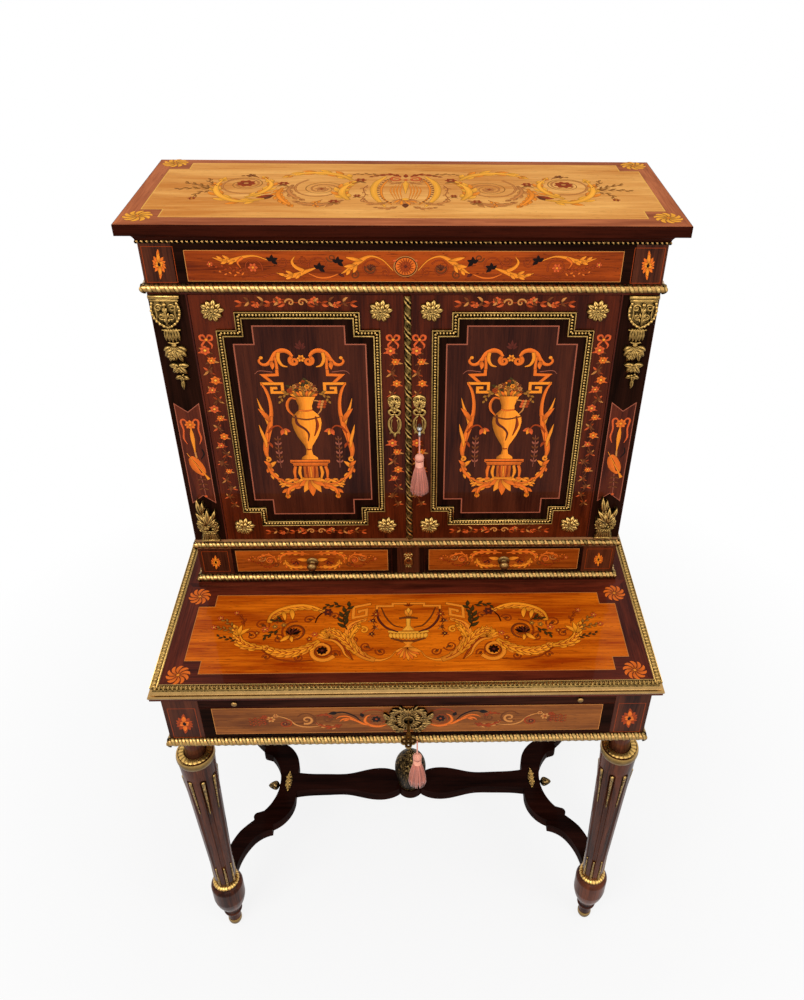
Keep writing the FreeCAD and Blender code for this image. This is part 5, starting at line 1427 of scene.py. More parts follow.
class DESK_OT_doors(bpy.types.Operator):
    """Lay the marquetry of the two doors"""
    bl_idname = "desk.doors"
    bl_label = "Doors"

    def execute(self, context):
        for side, hand in SIDES:
            panel = Inlay(on_door(hand), edge=0.34)
            panel.field(rectangle(hand * -158.4, hand * 157, -238.4, 231.4), 1)
            panel.field(notched(-113, 113, -195.5, 195.5, 30), 2)
            panel.field(notched(-100, 100, -181, 181, 31), 3, 2.0, "mauve")
            draw_arabesque(panel)
            draw_urn(panel)
            panel.mirror = False
            garland(panel, (hand * 140, 158), (hand * 140, -168), 19)
            garland(panel, (-hand * 142, 158), (-hand * 142, 52), 19)
            garland(panel, (-hand * 142, -14), (-hand * 142, -168), 19, False)
            small_garland(panel, (0, 219), 84, 17)
            small_garland(panel, (0, -221), 84, 15)
            panel.finish(side + "_door_marquetry", side + "_door", "door_stile", "black_upright", "door_field")
        return {"FINISHED"}


class DESK_OT_pilasters(bpy.types.Operator):
    """Lay the hanging trophies of the pilasters"""
    bl_idname = "desk.pilasters"
    bl_label = "Pilasters"

    def execute(self, context):
        for name, hand in SIDES:
            panel = Inlay(on_front(hand * 349.3, CUPBOARD.front, 1066), False)
            panel.field(rectangle(-27, 27, -183.6, 287.6), 2)
            banner = spots("-19.5,-100 0,-84 19.5,-100 19.5,100 0,84 -19.5,100")
            panel.field(banner, 1, 1.3, "mauve")
            for side in (-1, 1):
                panel.ribbon([(side * 2, 62), (side * 9, 70), (side * 14, 66), (side * 12, 50), (side * 14, 34),
                              (side * 10, 22)], [1.4, 3.2, 3.4, 2.8, 3, 1], "rose")
            panel.flower((0, 60), 9, 8, "orange", "amber")
            panel.ribbon("0,52 0,42 0,30 0,14 0,6", [2, 6, 6.5, 3, 2], "amber")
            panel.ribbon("0,6 1,-6", [3, 3], "tan")
            panel.turned([(2, -6, -2), (8, -5, -8), (11, -2, -18), (11, 1, -28), (8, 4, -36), (2, 6, -42)],
                         "orange", (0.6, 1.1, 0.8), 0.5)
            panel.ribbon("-6,-10 0,-22 5,-36", [1.6, 2.6, 1.6], "plum", edge=0.2)
            panel.ribbon("-14,4 0,-22 10,-40 15,-50", [1.0, 1.6, 2.4, 6], "amber")
            panel.ribbon("12,12 14,2 8,-8", [1.6, 2.4, 1.2], "dark", edge=0.2)
            panel.ribbon("2,-42 4,-62 5,-84", [1.2, 1.4, 0.9], "mauve", edge=0.2)
            panel.disc((5, -86), 2.4, "rose")
            for k in range(3):
                for way in (-1, 1):
                    panel.petal((3.4, -48 - 10 * k), -90 + way * 56, 10, 3, way * 25, "brown")
            panel.finish(name + "_pilaster_marquetry", "desk", "banner", "black_upright")
        return {"FINISHED"}


class DESK_OT_drawer_fronts(bpy.types.Operator):
    """Lay the marquetry of the drawer fronts and of the blocks beside them"""
    bl_idname = "desk.drawer_fronts"
    bl_label = "Drawer fronts"

    def execute(self, context):
        for side, hand in SIDES:
            panel = Inlay(on_front(hand * 174, CUPBOARD.front, DRAWER_ROW))
            panel.field(rectangle(hand * -143.2, hand * 143.2, -30.2, 30.2), 2)
            panel.field(rectangle(-136.5, 136.5, -24, 25), 1, 0.8)
            panel.scroll((32, 0), 13, 4, 40, 1.5, (2.2, 1.8, 1.2), "rust")
            panel.scroll((92, 6), 8, 2, 160, 1.3, (1.8, 1.4, 1.0), "tan")
            panel.scroll((66, -8), 8, 2, 60, -1.3, (1.8, 1.4, 1.0))
            panel.leaf("4,16 26,19 46,18 57,10 58,-3", 10, "orange", 7, second="amber")
            panel.leaf("49,3 47,-8 36,-15 20,-15 4,-16", 10, "amber", 7, second="orange")
            panel.petal((8, 2), 4, 20, 8, 10, "amber")
            panel.fan((30, -1), 200, 36, 5, 9, 4, ("rust", "plum"), bend=10)
            panel.scroll((76, 1), 11, 3, 200, -1.4, (2.6, 2.0, 1.2), "orange")
            panel.flower((76, 1), 4.5, 6, "rose", "amber")
            panel.leaf("64,4 76,15 90,13 98,6", 7, "orange")
            panel.leaf("66,-6 80,-14 94,-10", 6, "rust", 4)
            panel.sprig("86,-2 100,-4 114,4", "rust", 6, 6, 2.6, "rust", "rose")
            panel.sprig("88,4 100,8 112,12", "orange", 5, 5, 2.4, "rust")
            panel.finish(side + "_drawer_marquetry", side + "_small_drawer", "small_field", "black")
        blocks = Inlay(on_front(0, CUPBOARD.front, DRAWER_ROW))
        for hand in (-1, 1):
            blocks.field(rectangle(hand * 318.5, hand * 376.4, -30.6, 30.6), 1)
            blocks.field(rectangle(hand * 20, hand * 29.6, -30.6, 30.6), 2)
        blocks.field(rectangle(-20, 20, -30.6, 30.6), 1)
        blocks.straight(rectangle(325, 371, -24, 24), 0.8, "rust", True)
        blocks.lozenge((348.5, -2), 17, 34)
        blocks.finish("drawer_block_marquetry", "desk", "block", "black_upright")
        panel = Inlay(on_front(0, APRON.front, 693))
        panel.field(rectangle(-344.2, 344.2, -40.2, 36.8), 2)
        panel.field(rectangle(-325, 325, -31, 34.5), 1, 0.9)
        # Spiral and plumes beside the lock plate
        panel.scroll((54, 3), 15, 9, 200, 0.9, (1.6, 1.4, 1.0), "rust")
        panel.ribbon("41,23 56,28 72,24 82,12", [1.2, 2.2, 2.0, 1], "rust")
        panel.ribbon("36,-11 49,-16 64,-13 73,-2 70,10 63,15", [2, 5.4, 6, 5, 3.4, 1])
        panel.flower((54, 3), 8, 7, "dark", "rust")
        panel.ribbon("79,-4 90,12 108,22 124,20", [1.4, 2.4, 3, 2.6], "dark")
        panel.petal((119, 21), -8, 14, 8, 0, "dark")
        panel.petal((76, 10), 70, 10, 7, 0, "dark")
        panel.ribbon("66,-13 76,-9 86,-1 98,5 110,4 116,-3", [1, 5, 5.2, 4.6, 3.6, 0.6])
        panel.ribbon("85,0 101,11 114,11 122,5", [0.8, 3.6, 3.2, 0.6])
        panel.petal((98, 5), -34, 13, 4, 20)
        # Quieter scrolls further out
        panel.leaf("112,-10 126,-16 142,-14 154,-6", 10, "rust", 6, second="tan")
        panel.scroll((136, 4), 10, 3, 60, 1.4, (2.2, 1.8, 1.2))
        panel.leaf("126,8 138,16 152,14", 7, "rust", 4)
        panel.ribbon("148,-12 162,-15 178,-14 190,-8 199,4 212,12 226,13", [1, 3.2, 3.6, 3.2, 2.6, 0.8], "tan")
        panel.scroll((170, 4), 17, 12, 30, 0.8, (1.8, 1.6, 1.2))
        panel.scroll((170, 4), 12, 3, -60, -1.2, (5, 4, 2.2), "tan")
        panel.scroll((207, -6), 13, 3.4, 100, 1.4, (3.2, 2.4, 1.4), "rust", squash=0.85)
        panel.flower((207, -6), 4.5, 6, "plum", "tan")
        for x, y, reach, tone in ((230, 6, 8, "tan"), (240, 12, 5.5, "rust"), (221, 15, 5, "tan"),
                                  (238, -4, 5, "brown")):
            panel.flower((x, y), reach, 6, tone, "rust")
        for k in range(3):
            panel.sprig([(234, 4 - 3 * k), (250, 8 - 7 * k), (266, 6 - 7 * k)], "rust", 6, 6.5, 2.8, "brown",
                        None, 1.1)
        panel.finish("long_drawer_marquetry", "long_drawer", "drawer_field", "black")
        corners = Inlay(on_front(0, APRON.front, 693))
        corners.pair(345.2, 403.8, -52.8, 69.8, 1)
        corners.straight(rectangle(352, 397, -39, 36), 0.8, "rust", True)
        corners.lozenge((374.5, -3), 28, 52, "rust")
        corners.finish("corner_block_marquetry", "desk", "block")
        return {"FINISHED"}


class DESK_OT_sides(bpy.types.Operator):
    """Lay the stringing and small ornaments of the desk's sides"""
    bl_idname = "desk.sides"
    bl_label = "Sides"

    def execute(self, context):
        for side, hand in SIDES:
            panel = Inlay(on_side(hand, CUPBOARD.side, 157.5, 1118))
            panel.field(notched(-102, 102, -209, 209, 24), 2)
            panel.field(notched(-98, 98, -205, 205, 24), 1, 0.9, "mauve")
            panel.mirror = False
            panel.lozenge((0, 0), 60, 120)
            panel.mirror = True
            panel.leaf("0,62 16,84 10,104 26,120", 14, "orange", 6, second="amber")
            panel.leaf("0,-62 16,-84 10,-104 26,-120", 14, "orange", 6, second="amber")
            panel.scroll((44, 0), 20, 5, 180, 1.3, (3, 2.4, 1.4), "rust")
            for y in (-186, 186):
                panel.flower((80, y), 9, 8, "rose", "amber")
            panel.finish(side + "_side_marquetry", "desk", "door_field", "black_upright")
            apron = Inlay(on_side(hand, APRON.side, 20, 701.5))
            apron.field(rectangle(-180, 180, -46, 46), 2)
            apron.field(rectangle(-176, 176, -42, 42), 1, 0.9)
            rinceau(apron, 26, 136, 22, 3, ("orange", "amber", "rust"), "plum", 0.8)
            apron.mirror = False
            apron.flower((0, 0), 17, 8, "amber", "plum")
            apron.finish(side + "_apron_marquetry", "desk", "drawer_field", "black")
        return {"FINISHED"}


# Gilt mounts

class Casting(Inlay):
    """Gilt relief on one face, drawn as an inlay is: each strip is a raised, veined form with sides to the face."""

    walls = True

    def __init__(self, place, mirror=True, rise=0.55, step=0.35, ceiling=3.2):
        super().__init__(place, mirror, 0)
        self.rise = rise
        self.step = step
        self.ceiling = ceiling
        self.floor = 0.0
        self.vein = 0.72
        self.root = -0.3
        self.lit = 1.0

    def move(self, place):
        """Goes on to another place, with nothing laid there yet."""
        self.place = place
        self.laid = []
        self.floor = 0.0

    def lay(self, left, right, tone, across, along, edge=None):
        """One raised strip between two edges. Only its light along the way is taken from the inlay's tones."""
        self.settle([*left, *right])
        base = self.floor + min(self.level * self.step, self.ceiling)
        widest = max((a - b).length for a, b in zip(left, right))
        rows, shades = [], []
        for i, (a, b) in enumerate(zip(left, right)):
            middle = (a + b) / 2
            lit = min(at_share(list(along), i / max(len(left) - 1, 1)), 1.0) * self.lit
            # Painted light: each strip is darker at its foot, its sides and its vein and lightest on its crests,
            # scaled by its along shares; its end caps are painted dark.
            shades.append([lit * share for share in (0.05, 0.15, 0.8, 1.0, 0.45, 0.95, 0.7, 0.15, 0.05)])
            swell = min(self.rise * (a - b).length, self.rise * widest * 0.9) + 0.12
            rows.append(((a, self.root), (a, base), (a.lerp(middle, 0.28), base + swell * 0.8),
                         (a.lerp(middle, 0.72), base + swell), (middle, base + swell * self.vein),
                         (b.lerp(middle, 0.72), base + swell), (b.lerp(middle, 0.28), base + swell * 0.8), (b, base),
                         (b, self.root)))
        flat = [[(spot, self.root) for spot, _ in rows[0]], *rows, [(spot, self.root) for spot, _ in rows[-1]]]
        shades = [[0.05] * 9, *shades, [0.05] * 9]
        for hand in self.hands():
            made = [[self.point(self.place(hand * spot.x, spot.y, lift * MM), [shade] * 3)
                     for (spot, lift), shade in zip(row, line)] for row, line in zip(flat, shades)]
            self.quads(made)

    def plate(self, knots, thickness, inset=1.0):
        """Flat plate with a bevelled edge, under the relief."""
        knots = spots(knots)
        centre = sum((Vector(q) for q in knots), Vector((0, 0))) / len(knots)
        shrunk = [Vector(q).lerp(centre, inset / max((Vector(q) - centre).length, 1)) for q in knots]
        # The plate is painted dark, as shade under the relief.
        tint = [0.25 * self.lit] * 3
        for hand in self.hands():
            low = [self.point(self.place(hand * x, y, -0.3 * MM), tint) for x, y in knots]
            middle = [self.point(self.place(hand * x, y, (thickness - 0.5) * MM), tint) for x, y in knots]
            top = [self.point(self.place(hand * q.x, q.y, thickness * MM), tint) for q in shrunk]
            for first, second in ((low, middle), (middle, top)):
                for j in range(len(knots)):
                    k = (j + 1) % len(knots)
                    self.up((first[j], first[k], second[k], second[j]))
            self.up(tuple(top))

    def boss(self, middle, radius, height, base=0.0):
        """Round dome that stands on the face."""
        for hand in self.hands():
            rings = []
            # Painted shade at the dome's foot, painted highlight on its top.
            for reach, rise, lit in ((1, -0.3, 0.1), (1, base, 0.15), (0.92, base + height * 0.5, 0.6),
                                     (0.66, base + height * 0.86, 1), (0.34, base + height * 0.98, 1)):
                rings.append([self.point(self.place(hand * (middle[0] + radius * reach * math.cos(TAU * j / 16)),
                                                    middle[1] + radius * reach * math.sin(TAU * j / 16),
                                                    rise * MM), [lit * self.lit] * 3) for j in range(16)])
            for first, second in zip(rings, rings[1:]):
                for j in range(16):
                    self.up((first[j], first[(j + 1) % 16], second[(j + 1) % 16], second[j]))
            self.up(tuple(rings[-1]))

    def cast(self, name, body, replaced=(), metal="gilt_cast"):
        """Makes the casting's object on a body."""
        self.build(name, MATERIALS[metal], body, "gilt", replaced)


def rosette(panel, middle, radius):
    """Flower with an outer and an inner ring of cupped petals round a coiled heart."""
    # The along shares paint shade at the petals' feet and highlight towards their tips.
    for k in range(10):
        panel.petal(middle, 36 * k, radius * (1.0, 0.93)[k % 2], radius * 0.5, 10, along=(0.1, 0.7, 1.0, 0.9),
                    full=1.5)
    panel.floor += 1.6
    panel.fan(middle, 12, 51.4, 7, radius * 0.62, radius * 0.4, bend=18, along=(0.1, 0.8, 1.0), full=1.4)
    panel.floor += 1.4
    panel.scroll(middle, radius * 0.26, radius * 0.08, 0, 1.4, (2.6, 2.2, 1.6))
    panel.boss(middle, radius * 0.1, 2.4, panel.floor)
    panel.floor -= 3.0


def keyhole_mount(panel):
    """Upright lock plate: scrolled cap, leaves, bow and an oval ring round the keyhole."""
    panel.ribbon("-10.5,45 -7,52 0,54 7,52 10.5,45", [2, 5, 7, 5, 2])
    for side in (-1, 1):
        panel.scroll((side * 8, 45), 3.6, 1, 90, side * 1.2, (2.4, 2, 1.4))
        panel.leaf([(0, 28), (side * 4, 36), (side * 8, 44)], 7, lobes=4)
        panel.ribbon([(0, 24), (side * 5, 30), (side * 9, 27), (side * 6, 21), (0, 22)], [2, 3.6, 4, 3.4, 2])
        panel.ribbon([(side * 2, 18), (side * 8.6, 9), (side * 9, -3), (side * 5, -13), (0, -17)],
                     [2.4, 4.2, 4.2, 4, 2.6])
        panel.ribbon([(side * 4.2, 10), (side * 5.6, 0), (side * 4.2, -9)], [1.4, 1.8, 1.4])
        panel.petal((side * 5, -11), -90 + side * 35, 9, 4, -side * 30)
    panel.fan((0, 41), 38, 26, 5, 11, 4, fall=1)
    panel.petal((0, -14), -90, 12, 5.5)
    panel.boss((0, 25), 2.6, 2.0, 1.6)
    panel.boss((0, 53), 2.2, 1.6, 2.4)


class DESK_OT_door_mounts(bpy.types.Operator):
    """Cast the rosettes, lock plates and framing of the doors, and the ribboned astragal"""
    bl_idname = "desk.door_mounts"
    bl_label = "Door mounts"

    def execute(self, context):
        for side, hand in SIDES:
            body = side + "_door"
            panel = Casting(on_door(hand), False)
            for x in (-124.5, 124.5):
                for y in (-207.5, 207):
                    rosette(panel, (x, y), 18.5)
            panel.move(on_front(hand * 20, CUPBOARD.front, 1125))
            keyhole_mount(panel)
            panel.cast(side + "_door_castings", body, [side + "_door_mounts"])
            framing = Casting(on_door(hand), False, 0.4, 0.0)
            framing.floor = 1.6
            # The channel under the beads is painted dark, as shade.
            framing.lit = 0.2
            framing.rise = 0.0
            framing.straight(notched(-117.5, 117.5, -200, 200, 30), 10.6, closed=True)
            framing.lit = 1.0
            framing.rise = 0.4
            for inset, width, framing.floor in ((0.9, 1.7, 3.2), (9.9, 2.1, 3.8)):
                framing.straight(notched(-123 + inset, 123 - inset, -205.5 + inset, 205.5 - inset, 30), width,
                                 closed=True)
            middle = notched(-117.7, 117.7, -200.2, 200.2, 30)
            framing.floor = 2.0
            framing.vein = 1.05
            framing.rise = 0.5
            for a, b in zip(middle, middle[1:] + middle[:1]):
                first, last = Vector(a), Vector(b)
                way = (last - first).normalized()
                turned = Vector((-way.y, way.x))
                count = int((last - first).length / 5.0 + 0.5)
                for k in range(count):
                    spot = first + (last - first) * ((k + 0.5) / count)
                    framing.laid = []
                    framing.lay([spot + turned - way * 2, spot + turned * 2.8, spot + turned + way * 2],
                                [spot - turned - way * 2, spot - turned * 2.8, spot - turned + way * 2],
                                "orange", (1, 1, 1), (0.7, 1, 0.7))
            framing.cast(body + "_framing", body, [body + "_frame"])
        ribbon = Shape()
        low, high, pitch, steps = 883.2, 1352.8, 26.0, 420
        rows, shades = [], []
        for i in range(steps + 1):
            z = low + (high - low) * i / steps
            row, line = [], []
            for j in range(15):
                angle = math.pi * j / 14
                phase = (z / pitch + angle / TAU * 1.4) % 1.0
                band = 1.0 if 0.1 < phase < 0.9 else 0.0
                rim = 1.0 if 0.1 < phase < 0.22 or 0.78 < phase < 0.9 else 0.0
                reach = 4.2 + 0.6 * band + 0.6 * rim
                # Painted shade in the gaps of the wound ribbon, painted highlight at its rims.
                line.append([(0.1, 0.5, 1.0)[int(band + rim)]] * 3)
                row.append(Vector(((2.5 - reach * 1.12 * math.cos(angle)) * MM,
                                   (CUPBOARD.front - reach * math.sin(angle)) * MM, z * MM)))
            rows.append(row)
            shades.append(line)
        ribbon.grid(rows, shades)
        ribbon.build("astragal_ribbon", MATERIALS["gilt_cast"], "right_door", "gilt", ["door_astragal"])
        return {"FINISHED"}


def hanging_leaves(panel, middle, ways, width, bend, shift=0.0):
    """Leaves that hang from one point: each has how far it turns from straight down, and its length."""
    for way, length in ways:
        panel.petal((middle[0] + way * shift, middle[1]), -90 + way, length, width, way * bend, full=1.05)


class DESK_OT_pilaster_mounts(bpy.types.Operator):
    """Cast the capitals, hanging flowers and flower baskets of the pilasters"""
    bl_idname = "desk.pilaster_mounts"
    bl_label = "Pilaster mounts"

    def execute(self, context):
        cap, drop, basket = (Casting(on_front(0, CUPBOARD.front, 0), False, 0.5, 0.45, 5) for _ in range(3))
        for hand in (-1, 1):
            cap.move(on_front(hand * 353.5, CUPBOARD.front, 1300))
            cap.lit = 0.3
            cap.plate("-18,44 -20,30 -18,18 -11,8 0,0 11,8 18,18 20,30 18,44", 4.5)
            cap.lit = 1.0
            cap.floor = 3
            cap.ribbon("-22.5,51 22.5,51", [6, 6])
            cap.ribbon("-20.5,45.5 20.5,45.5", [4.4, 4.4])
            cap.mirror = True
            cap.floor = 4
            cap.ribbon("18,42 20.5,30 18,18 11,8.5 0,1.5", [3, 3.6, 3.6, 3.6, 3.2])
            for spot in smooth_line(spots("18,42 20.5,30 18,18 11,8.5 0,1.5"), 9)[:-1]:
                cap.boss(spot, 2.1, 1.4, 5.8)
            cap.scroll((10, 34), 6.4, 1.8, 150, -1.3, (2.6, 2.2, 1.4))
            cap.scroll((7, 20), 5.4, 1.6, -120, 1.3, (2.4, 2.0, 1.4))
            cap.ribbon("15,14 13.5,24 15.5,38", [1.2, 2.6, 1.2])
            cap.mirror = False
            cap.leaf("0,8 0,22 0,40", 9, lobes=4)
            cap.boss((0, 40), 3, 2.4, 6)
            drop.move(on_front(hand * 350.5, CUPBOARD.front, 1300))
            drop.floor = 2.5
            drop.lit = basket.lit = 0.84
            for k in (-2, 2, -1, 1, 0):
                drop.petal((k * 3.6, 0), -90 + k * 5, 25 - abs(k) * 1.5, 7.5, -k * 3, full=0.7)
            drop.ribbon("-14,-2 0,-4 14,-2", [2, 3.4, 2])
            drop.ribbon("-8,-23 0,-25 8,-23", [2, 3.2, 2])
            drop.boss((0, -28), 4.2, 3.4, 2)
            hanging_leaves(drop, (0, -31), ((-74, 16), (74, 17), (-46, 22), (46, 23), (-22, 27), (22, 28), (0, 24)),
                           9, -0.3, 0.04)
            hanging_leaves(drop, (0, -34), ((-60, 16), (60, 16), (-20, 16), (20, 16)), 8, 0.4)
            drop.flower((-5, -45), 8)
            drop.flower((8, -42), 6.5, 5)
            hanging_leaves(drop, (2, -60), ((-70, 15), (70, 16), (-30, 18), (30, 20)), 9, 0.4)
            drop.flower((2, -66), 9)
            hanging_leaves(drop, (4, -80), ((-55, 13), (50, 13), (0, 13)), 7.5, 0.3)
            drop.flower((5, -82), 6, 5)
            drop.petal((4, -88), -92, 18, 7)
            basket.move(on_front(hand * 348.5, CUPBOARD.front, 882))
            basket.plate("-17,0 17,0 14,14 11,22 -11,22 -14,14", 4.5)
            basket.floor = 4
            basket.ribbon("-16,2.5 16,2.5", [4.4, 4.4])
            for k in range(-3, 4):
                basket.ribbon([(k * 4.2, 5), (k * 3.4, 13), (k * 3.0, 20)], [3.4, 3, 2.4])
            basket.ribbon("-12,22 12,22", [3.6, 3.6])
            basket.mirror = True
            basket.scroll((11.5, 33), 7, 2, -150, 1.5, (3.8, 3, 2))
            basket.leaf("2,25 9,26 14.5,36 14.5,46", 8)
            basket.mirror = False
            basket.flower((-4, 37), 9, 7)
            basket.flower((9, 42), 7.5)
            basket.flower((-12, 45), 6.5)
            for angle, reach in ((140, 20), (115, 32), (95, 22), (60, 26), (38, 20), (80, 34)):
                basket.petal((0, 40), angle, reach, 10, 12, full=1.05)
            basket.flower((-6, 62), 7)
            basket.petal((-5, 62), 108, 34, 10, -18, full=1.0)
            basket.petal((-6, 66), 76, 24, 8, 16, full=1.0)
            basket.petal((8, 52), 60, 22, 8, 20, full=1.0)
            basket.flower((-4, 78), 5.5, 5)
        cap.cast("capital_castings", "desk", ["capitals"])
        drop.cast("flower_drop_castings", "desk", ["flower_drops"])
        basket.cast("flower_basket_castings", "desk", ["flower_baskets"])
        return {"FINISHED"}


def roped(shape, start, end, foot, height, depth, outward, pitch, lit):
    """Half-round moulding wound with a ribbon, from start to end, standing out from a face."""
    first, last = Vector(start), Vector(end)
    span = (last - first).length
    way = (last - first).normalized()
    outward = Vector(outward)
    steps = max(int(span / pitch * 6), 2)
    rows, shades = [], []
    for i in range(steps + 1):
        along = span * i / steps
        row, line = [], []
        for j in range(11):
            angle = math.pi * (j / 10 - 0.5)
            wave = 0.5 + 0.5 * math.cos(TAU * (along / pitch + angle / math.pi * 0.55))
            swell = 1.0 + 0.2 * wave ** 0.6
            # Painted shade in the grooves of the winding and towards the top and bottom, painted highlight on the
            # front.
            line.append([(0.1 + 0.9 * wave) * (0.45 + 0.55 * math.cos(angle)) * lit] * 3)
            spot = first + way * along
            row.append(Vector((spot.x, spot.y, 0)) * MM + outward * (depth * swell * math.cos(angle) * MM)
                       + Vector((0, 0, (foot + height / 2 + height / 2 * swell * 0.96 * math.sin(angle)) * MM)))
        rows.append(row)
        shades.append(line)
    shape.grid(rows, shades, flip=Vector((way.y, -way.x, 0)).dot(outward) > 0)


def round_three_sides(shape, box, foot, height, depth, pitch, lit=1.0):
    """Roped moulding along the front and both sides of the cupboard or the apron."""
    half, front, back = box
    reach = half + depth * 0.9
    roped(shape, (-reach, front), (reach, front), foot, height, depth, (0, -1, 0), pitch, lit)
    for hand in (-1, 1):
        roped(shape, (hand * half, front - depth * 0.9), (hand * half, back), foot, height, depth, (hand, 0, 0),
              pitch, lit)


class DESK_OT_mouldings(bpy.types.Operator):
    """Wind the gilt mouldings with ribbon and chase the table edge"""
    bl_idname = "desk.mouldings"
    bl_label = "Gilt mouldings"

    def execute(self, context):
        cabinet = Shape()
        for foot, height, depth, lit in ((1358, 12, 7.5, 1.0), (864, 12, 5.5, 0.78), (785, 14, 8, 0.84)):
            round_three_sides(cabinet, CUPBOARD, foot, height, depth - 0.6, 13, lit)
        cabinet.build("cabinet_rope_mouldings", MATERIALS["gilt_rope"], "desk", "gilt")
        line = Shape()
        round_three_sides(line, CUPBOARD, 1431.8, 5.2, 2.8, 7)
        line.build("cornice_bead_line", MATERIALS["bead_bronze"], "desk", "gilt")
        apron = Shape()
        round_three_sides(apron, APRON, 635, 16, 6.2, 12, 0.9)
        apron.build("apron_rope_moulding", MATERIALS["gilt_rope"], "desk", "gilt")
        edge = Casting(on_level(0, TABLE_HEIGHT + 1), False, 0.22, 0.0)
        edge.root = -3.0
        edge.floor = 0.1
        runs = [((-409, -236.5), (409, -236.5)), ((-409, -236.5), (-409, 286)), ((409, -236.5), (409, 286))]
        for first, last in runs:
            start, finish = Vector(first), Vector(last)
            way = (finish - start).normalized()
            across = Vector((-way.y, way.x))
            outward, inward = (math.degrees(math.atan2(turn.y, turn.x)) for turn in (across, -across))
            count = int((finish - start).length / 7.0)
            # The channel is painted dark, as shade.
            edge.lit = 0.15
            edge.rise = 0.0
            edge.straight([start, finish], 11)
            edge.lit = 1.0
            edge.rise = 0.22
            edge.floor = 0.5
            for k in range(count):
                spot = start + (finish - start) * ((k + 0.5) / count)
                edge.laid = []
                edge.petal(spot - across * 4.2, outward, 8.4, 4.8)
                edge.petal(spot + way * 3.5 + across * 4.0, inward, 6.4, 1.9, full=0.7)
            for shift in (-5.3, 5.3):
                edge.laid = []
                edge.straight([start + across * shift, finish + across * shift], 1.3)
            edge.floor = 0.1
        edge.cast("table_edge_leaves", "desk")
        return {"FINISHED"}


LEG_PLACES = [(x, y) for x in (-376, 376) for y in (-212.5, 252.5)]
LEG_RINGS = (  # steps of radius and height, and the number of lobes
    ([(25, 573.6), (31.4, 575), (33.2, 579), (33.6, 583), (31.8, 588), (27, 591.4), (20, 592)], 22),
    ([(21, 162.6), (25.4, 163.4), (26.6, 166.5), (25, 170), (20, 170.6)], 26),
)


class DESK_OT_leg_mounts(bpy.types.Operator):
    """Cast the gadrooned collars and foot rings of the legs, and the sprays on the stretchers"""
    bl_idname = "desk.leg_mounts"
    bl_label = "Leg mounts"

    def execute(self, context):
        rings = Shape()
        for x, y in LEG_PLACES:
            for profile, lobes in LEG_RINGS:
                rows, shades = [], []
                for reach, z in profile:
                    row, line = [], []
                    for j in range(lobes * 6):
                        angle = TAU * j / (lobes * 6)
                        wave = abs(math.sin(lobes / 2 * angle + (z - profile[0][1]) * 0.06))
                        spot = reach * (0.975 + 0.025 * wave)
                        row.append(Vector((x + spot * math.cos(angle), y + spot * math.sin(angle), z)) * MM)
                        # Painted shade between the gadroons, painted highlight on their crests.
                        line.append([0.45 + 0.45 * wave ** 0.7] * 3)
                    rows.append(row)
                    shades.append(line)
                rings.grid(rows, shades, round_rows=True)
        rings.build("leg_ring_castings", MATERIALS["gilt_cast"], "desk", "gilt")
        spray = Casting(on_level(20, 152.5), True, 0.35, 0.2, 1.2)
        spray.root = -1.2
        for way in (-1, 1):
            spray.leaf([(277, 0), (278, way * 10), (276, way * 23)], 7, lobes=4)
            spray.petal((277, way * 6), 90 * way - 50, 9, 4, 10)
            spray.petal((277, way * 6), 90 * way + 50, 9, 4, -10)
        spray.flower((277, 0), 6, 7)
        spray.cast("stretcher_sprays", "desk")
        return {"FINISHED"}


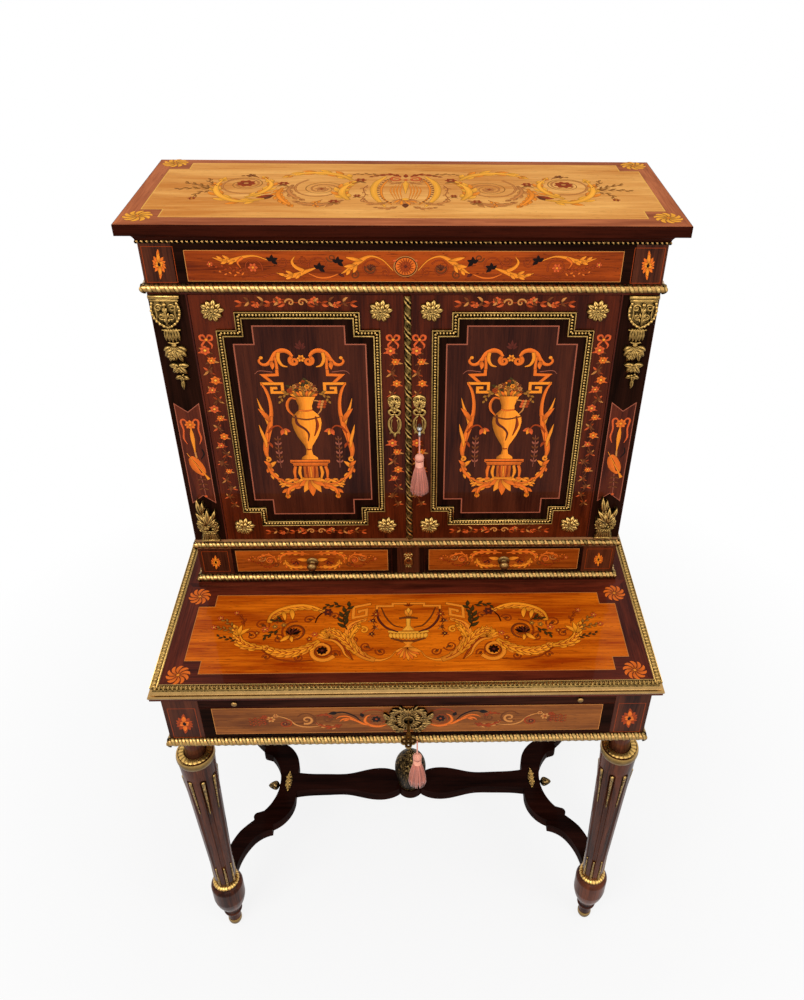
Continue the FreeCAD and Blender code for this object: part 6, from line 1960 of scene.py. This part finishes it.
class DESK_OT_drawer_mounts(bpy.types.Operator):
    """Cast the lock plates and knobs of the drawers"""
    bl_idname = "desk.drawer_mounts"
    bl_label = "Drawer mounts"

    def execute(self, context):
        plate = Casting(on_front(0, APRON.front, 697), False, 0.5, 0.3, 2)
        oval = [(19 * math.cos(TAU * k / 40), 20 * math.sin(TAU * k / 40)) for k in range(40)]
        plate.plate(oval, 1.2)
        plate.floor = 1.0
        for k in range(22):
            angle = 360 * k / 22
            foot = (8.5 * math.cos(math.radians(angle)), -1 + 9.5 * math.sin(math.radians(angle)))
            plate.petal(foot, angle, 13 + 1.6 * (k % 2), 4.6, full=1.1)
        plate.floor = 1.8
        plate.ribbon([(9 * math.cos(TAU * k / 24), -1 + 10 * math.sin(TAU * k / 24)) for k in range(25)],
                     [2.6, 2.6], count=49)
        plate.mirror = True
        plate.leaf("4,17 12,25 22,20 28,8", 12, lobes=6)
        plate.leaf("6,-22 14,-24 24,-16 30,-4", 11, lobes=6)
        plate.leaf("20,2 28,0 34,6 39,14", 10)
        plate.scroll((24, 4), 7, 2, 180, 1.4, (3, 2.4, 1.6))
        plate.petal((22, -8), -8, 17, 7, 24)
        plate.mirror = False
        for k in range(5):
            plate.petal((0, 17), 90 + 24 * (k - 2), 12 - abs(k - 2), 5)
            plate.petal((0, -19), -90 + 26 * (k - 2), 9 - abs(k - 2), 4.4)
        plate.cast("drawer_lock_plate", "long_drawer", ["long_drawer_escutcheon"], "bronze_cast")
        small = Casting(on_front(0, CUPBOARD.front - 2, DRAWER_ROW), True, 0.5, 0.2, 1.4)
        small.ribbon("1.0,6 3.6,8.6 6.8,12 6.6,16 3.2,15.6", [2, 2.8, 3, 2.8, 1.6])
        small.ribbon("1.2,7.5 4.8,4.5 6.4,-1.5 5.0,-7.5 0.8,-10.5", [2.2, 3, 3.2, 3, 2])
        small.petal((2.6, -11), -62, 7, 3, -20)
        small.mirror = False
        small.fan((0, 10.5), 56, 34, 3, 8.5, 3.2, fall=2)
        small.petal((0, -11), -90, 7, 3.4)
        small.boss((0, 9), 1.9, 1.4, 1.4)
        small.cast("centre_lock_casting", "desk")
        return {"FINISHED"}


# Panel and start

OPERATORS = (DESK_OT_camera, DESK_OT_silk, DESK_OT_stage, DESK_OT_finishes, DESK_OT_cornice_top,
             DESK_OT_writing_top, DESK_OT_frieze, DESK_OT_doors, DESK_OT_pilasters, DESK_OT_drawer_fronts,
             DESK_OT_sides, DESK_OT_door_mounts, DESK_OT_pilaster_mounts, DESK_OT_mouldings, DESK_OT_leg_mounts,
             DESK_OT_drawer_mounts)


class DESK_PT_panel(bpy.types.Panel):
    """Lists the steps that dress the desk"""
    bl_idname = "DESK_PT_panel"
    bl_label = "Writing Desk"
    bl_space_type = "VIEW_3D"
    bl_region_type = "UI"
    bl_category = "Desk"

    def draw(self, context):
        for group in (context.scene.desk_sizes, context.scene.desk_colours):
            for name in group.__annotations__:
                self.layout.prop(group, name)
        for operator in OPERATORS:
            self.layout.operator(operator.bl_idname)


CLASSES = (DeskSizes, DeskColours, *OPERATORS, DESK_PT_panel)


def register():
    for item in CLASSES:
        bpy.utils.register_class(item)
    bpy.types.Scene.desk_sizes = PointerProperty(type=DeskSizes)
    bpy.types.Scene.desk_colours = PointerProperty(type=DeskColours)


def unregister():
    del bpy.types.Scene.desk_colours
    del bpy.types.Scene.desk_sizes
    for item in reversed(CLASSES):
        bpy.utils.unregister_class(item)


def main():
    register()
    for operator in OPERATORS:
        getattr(bpy.ops.desk, operator.bl_idname.split(".")[1])()


if __name__ == "__main__":
    main()
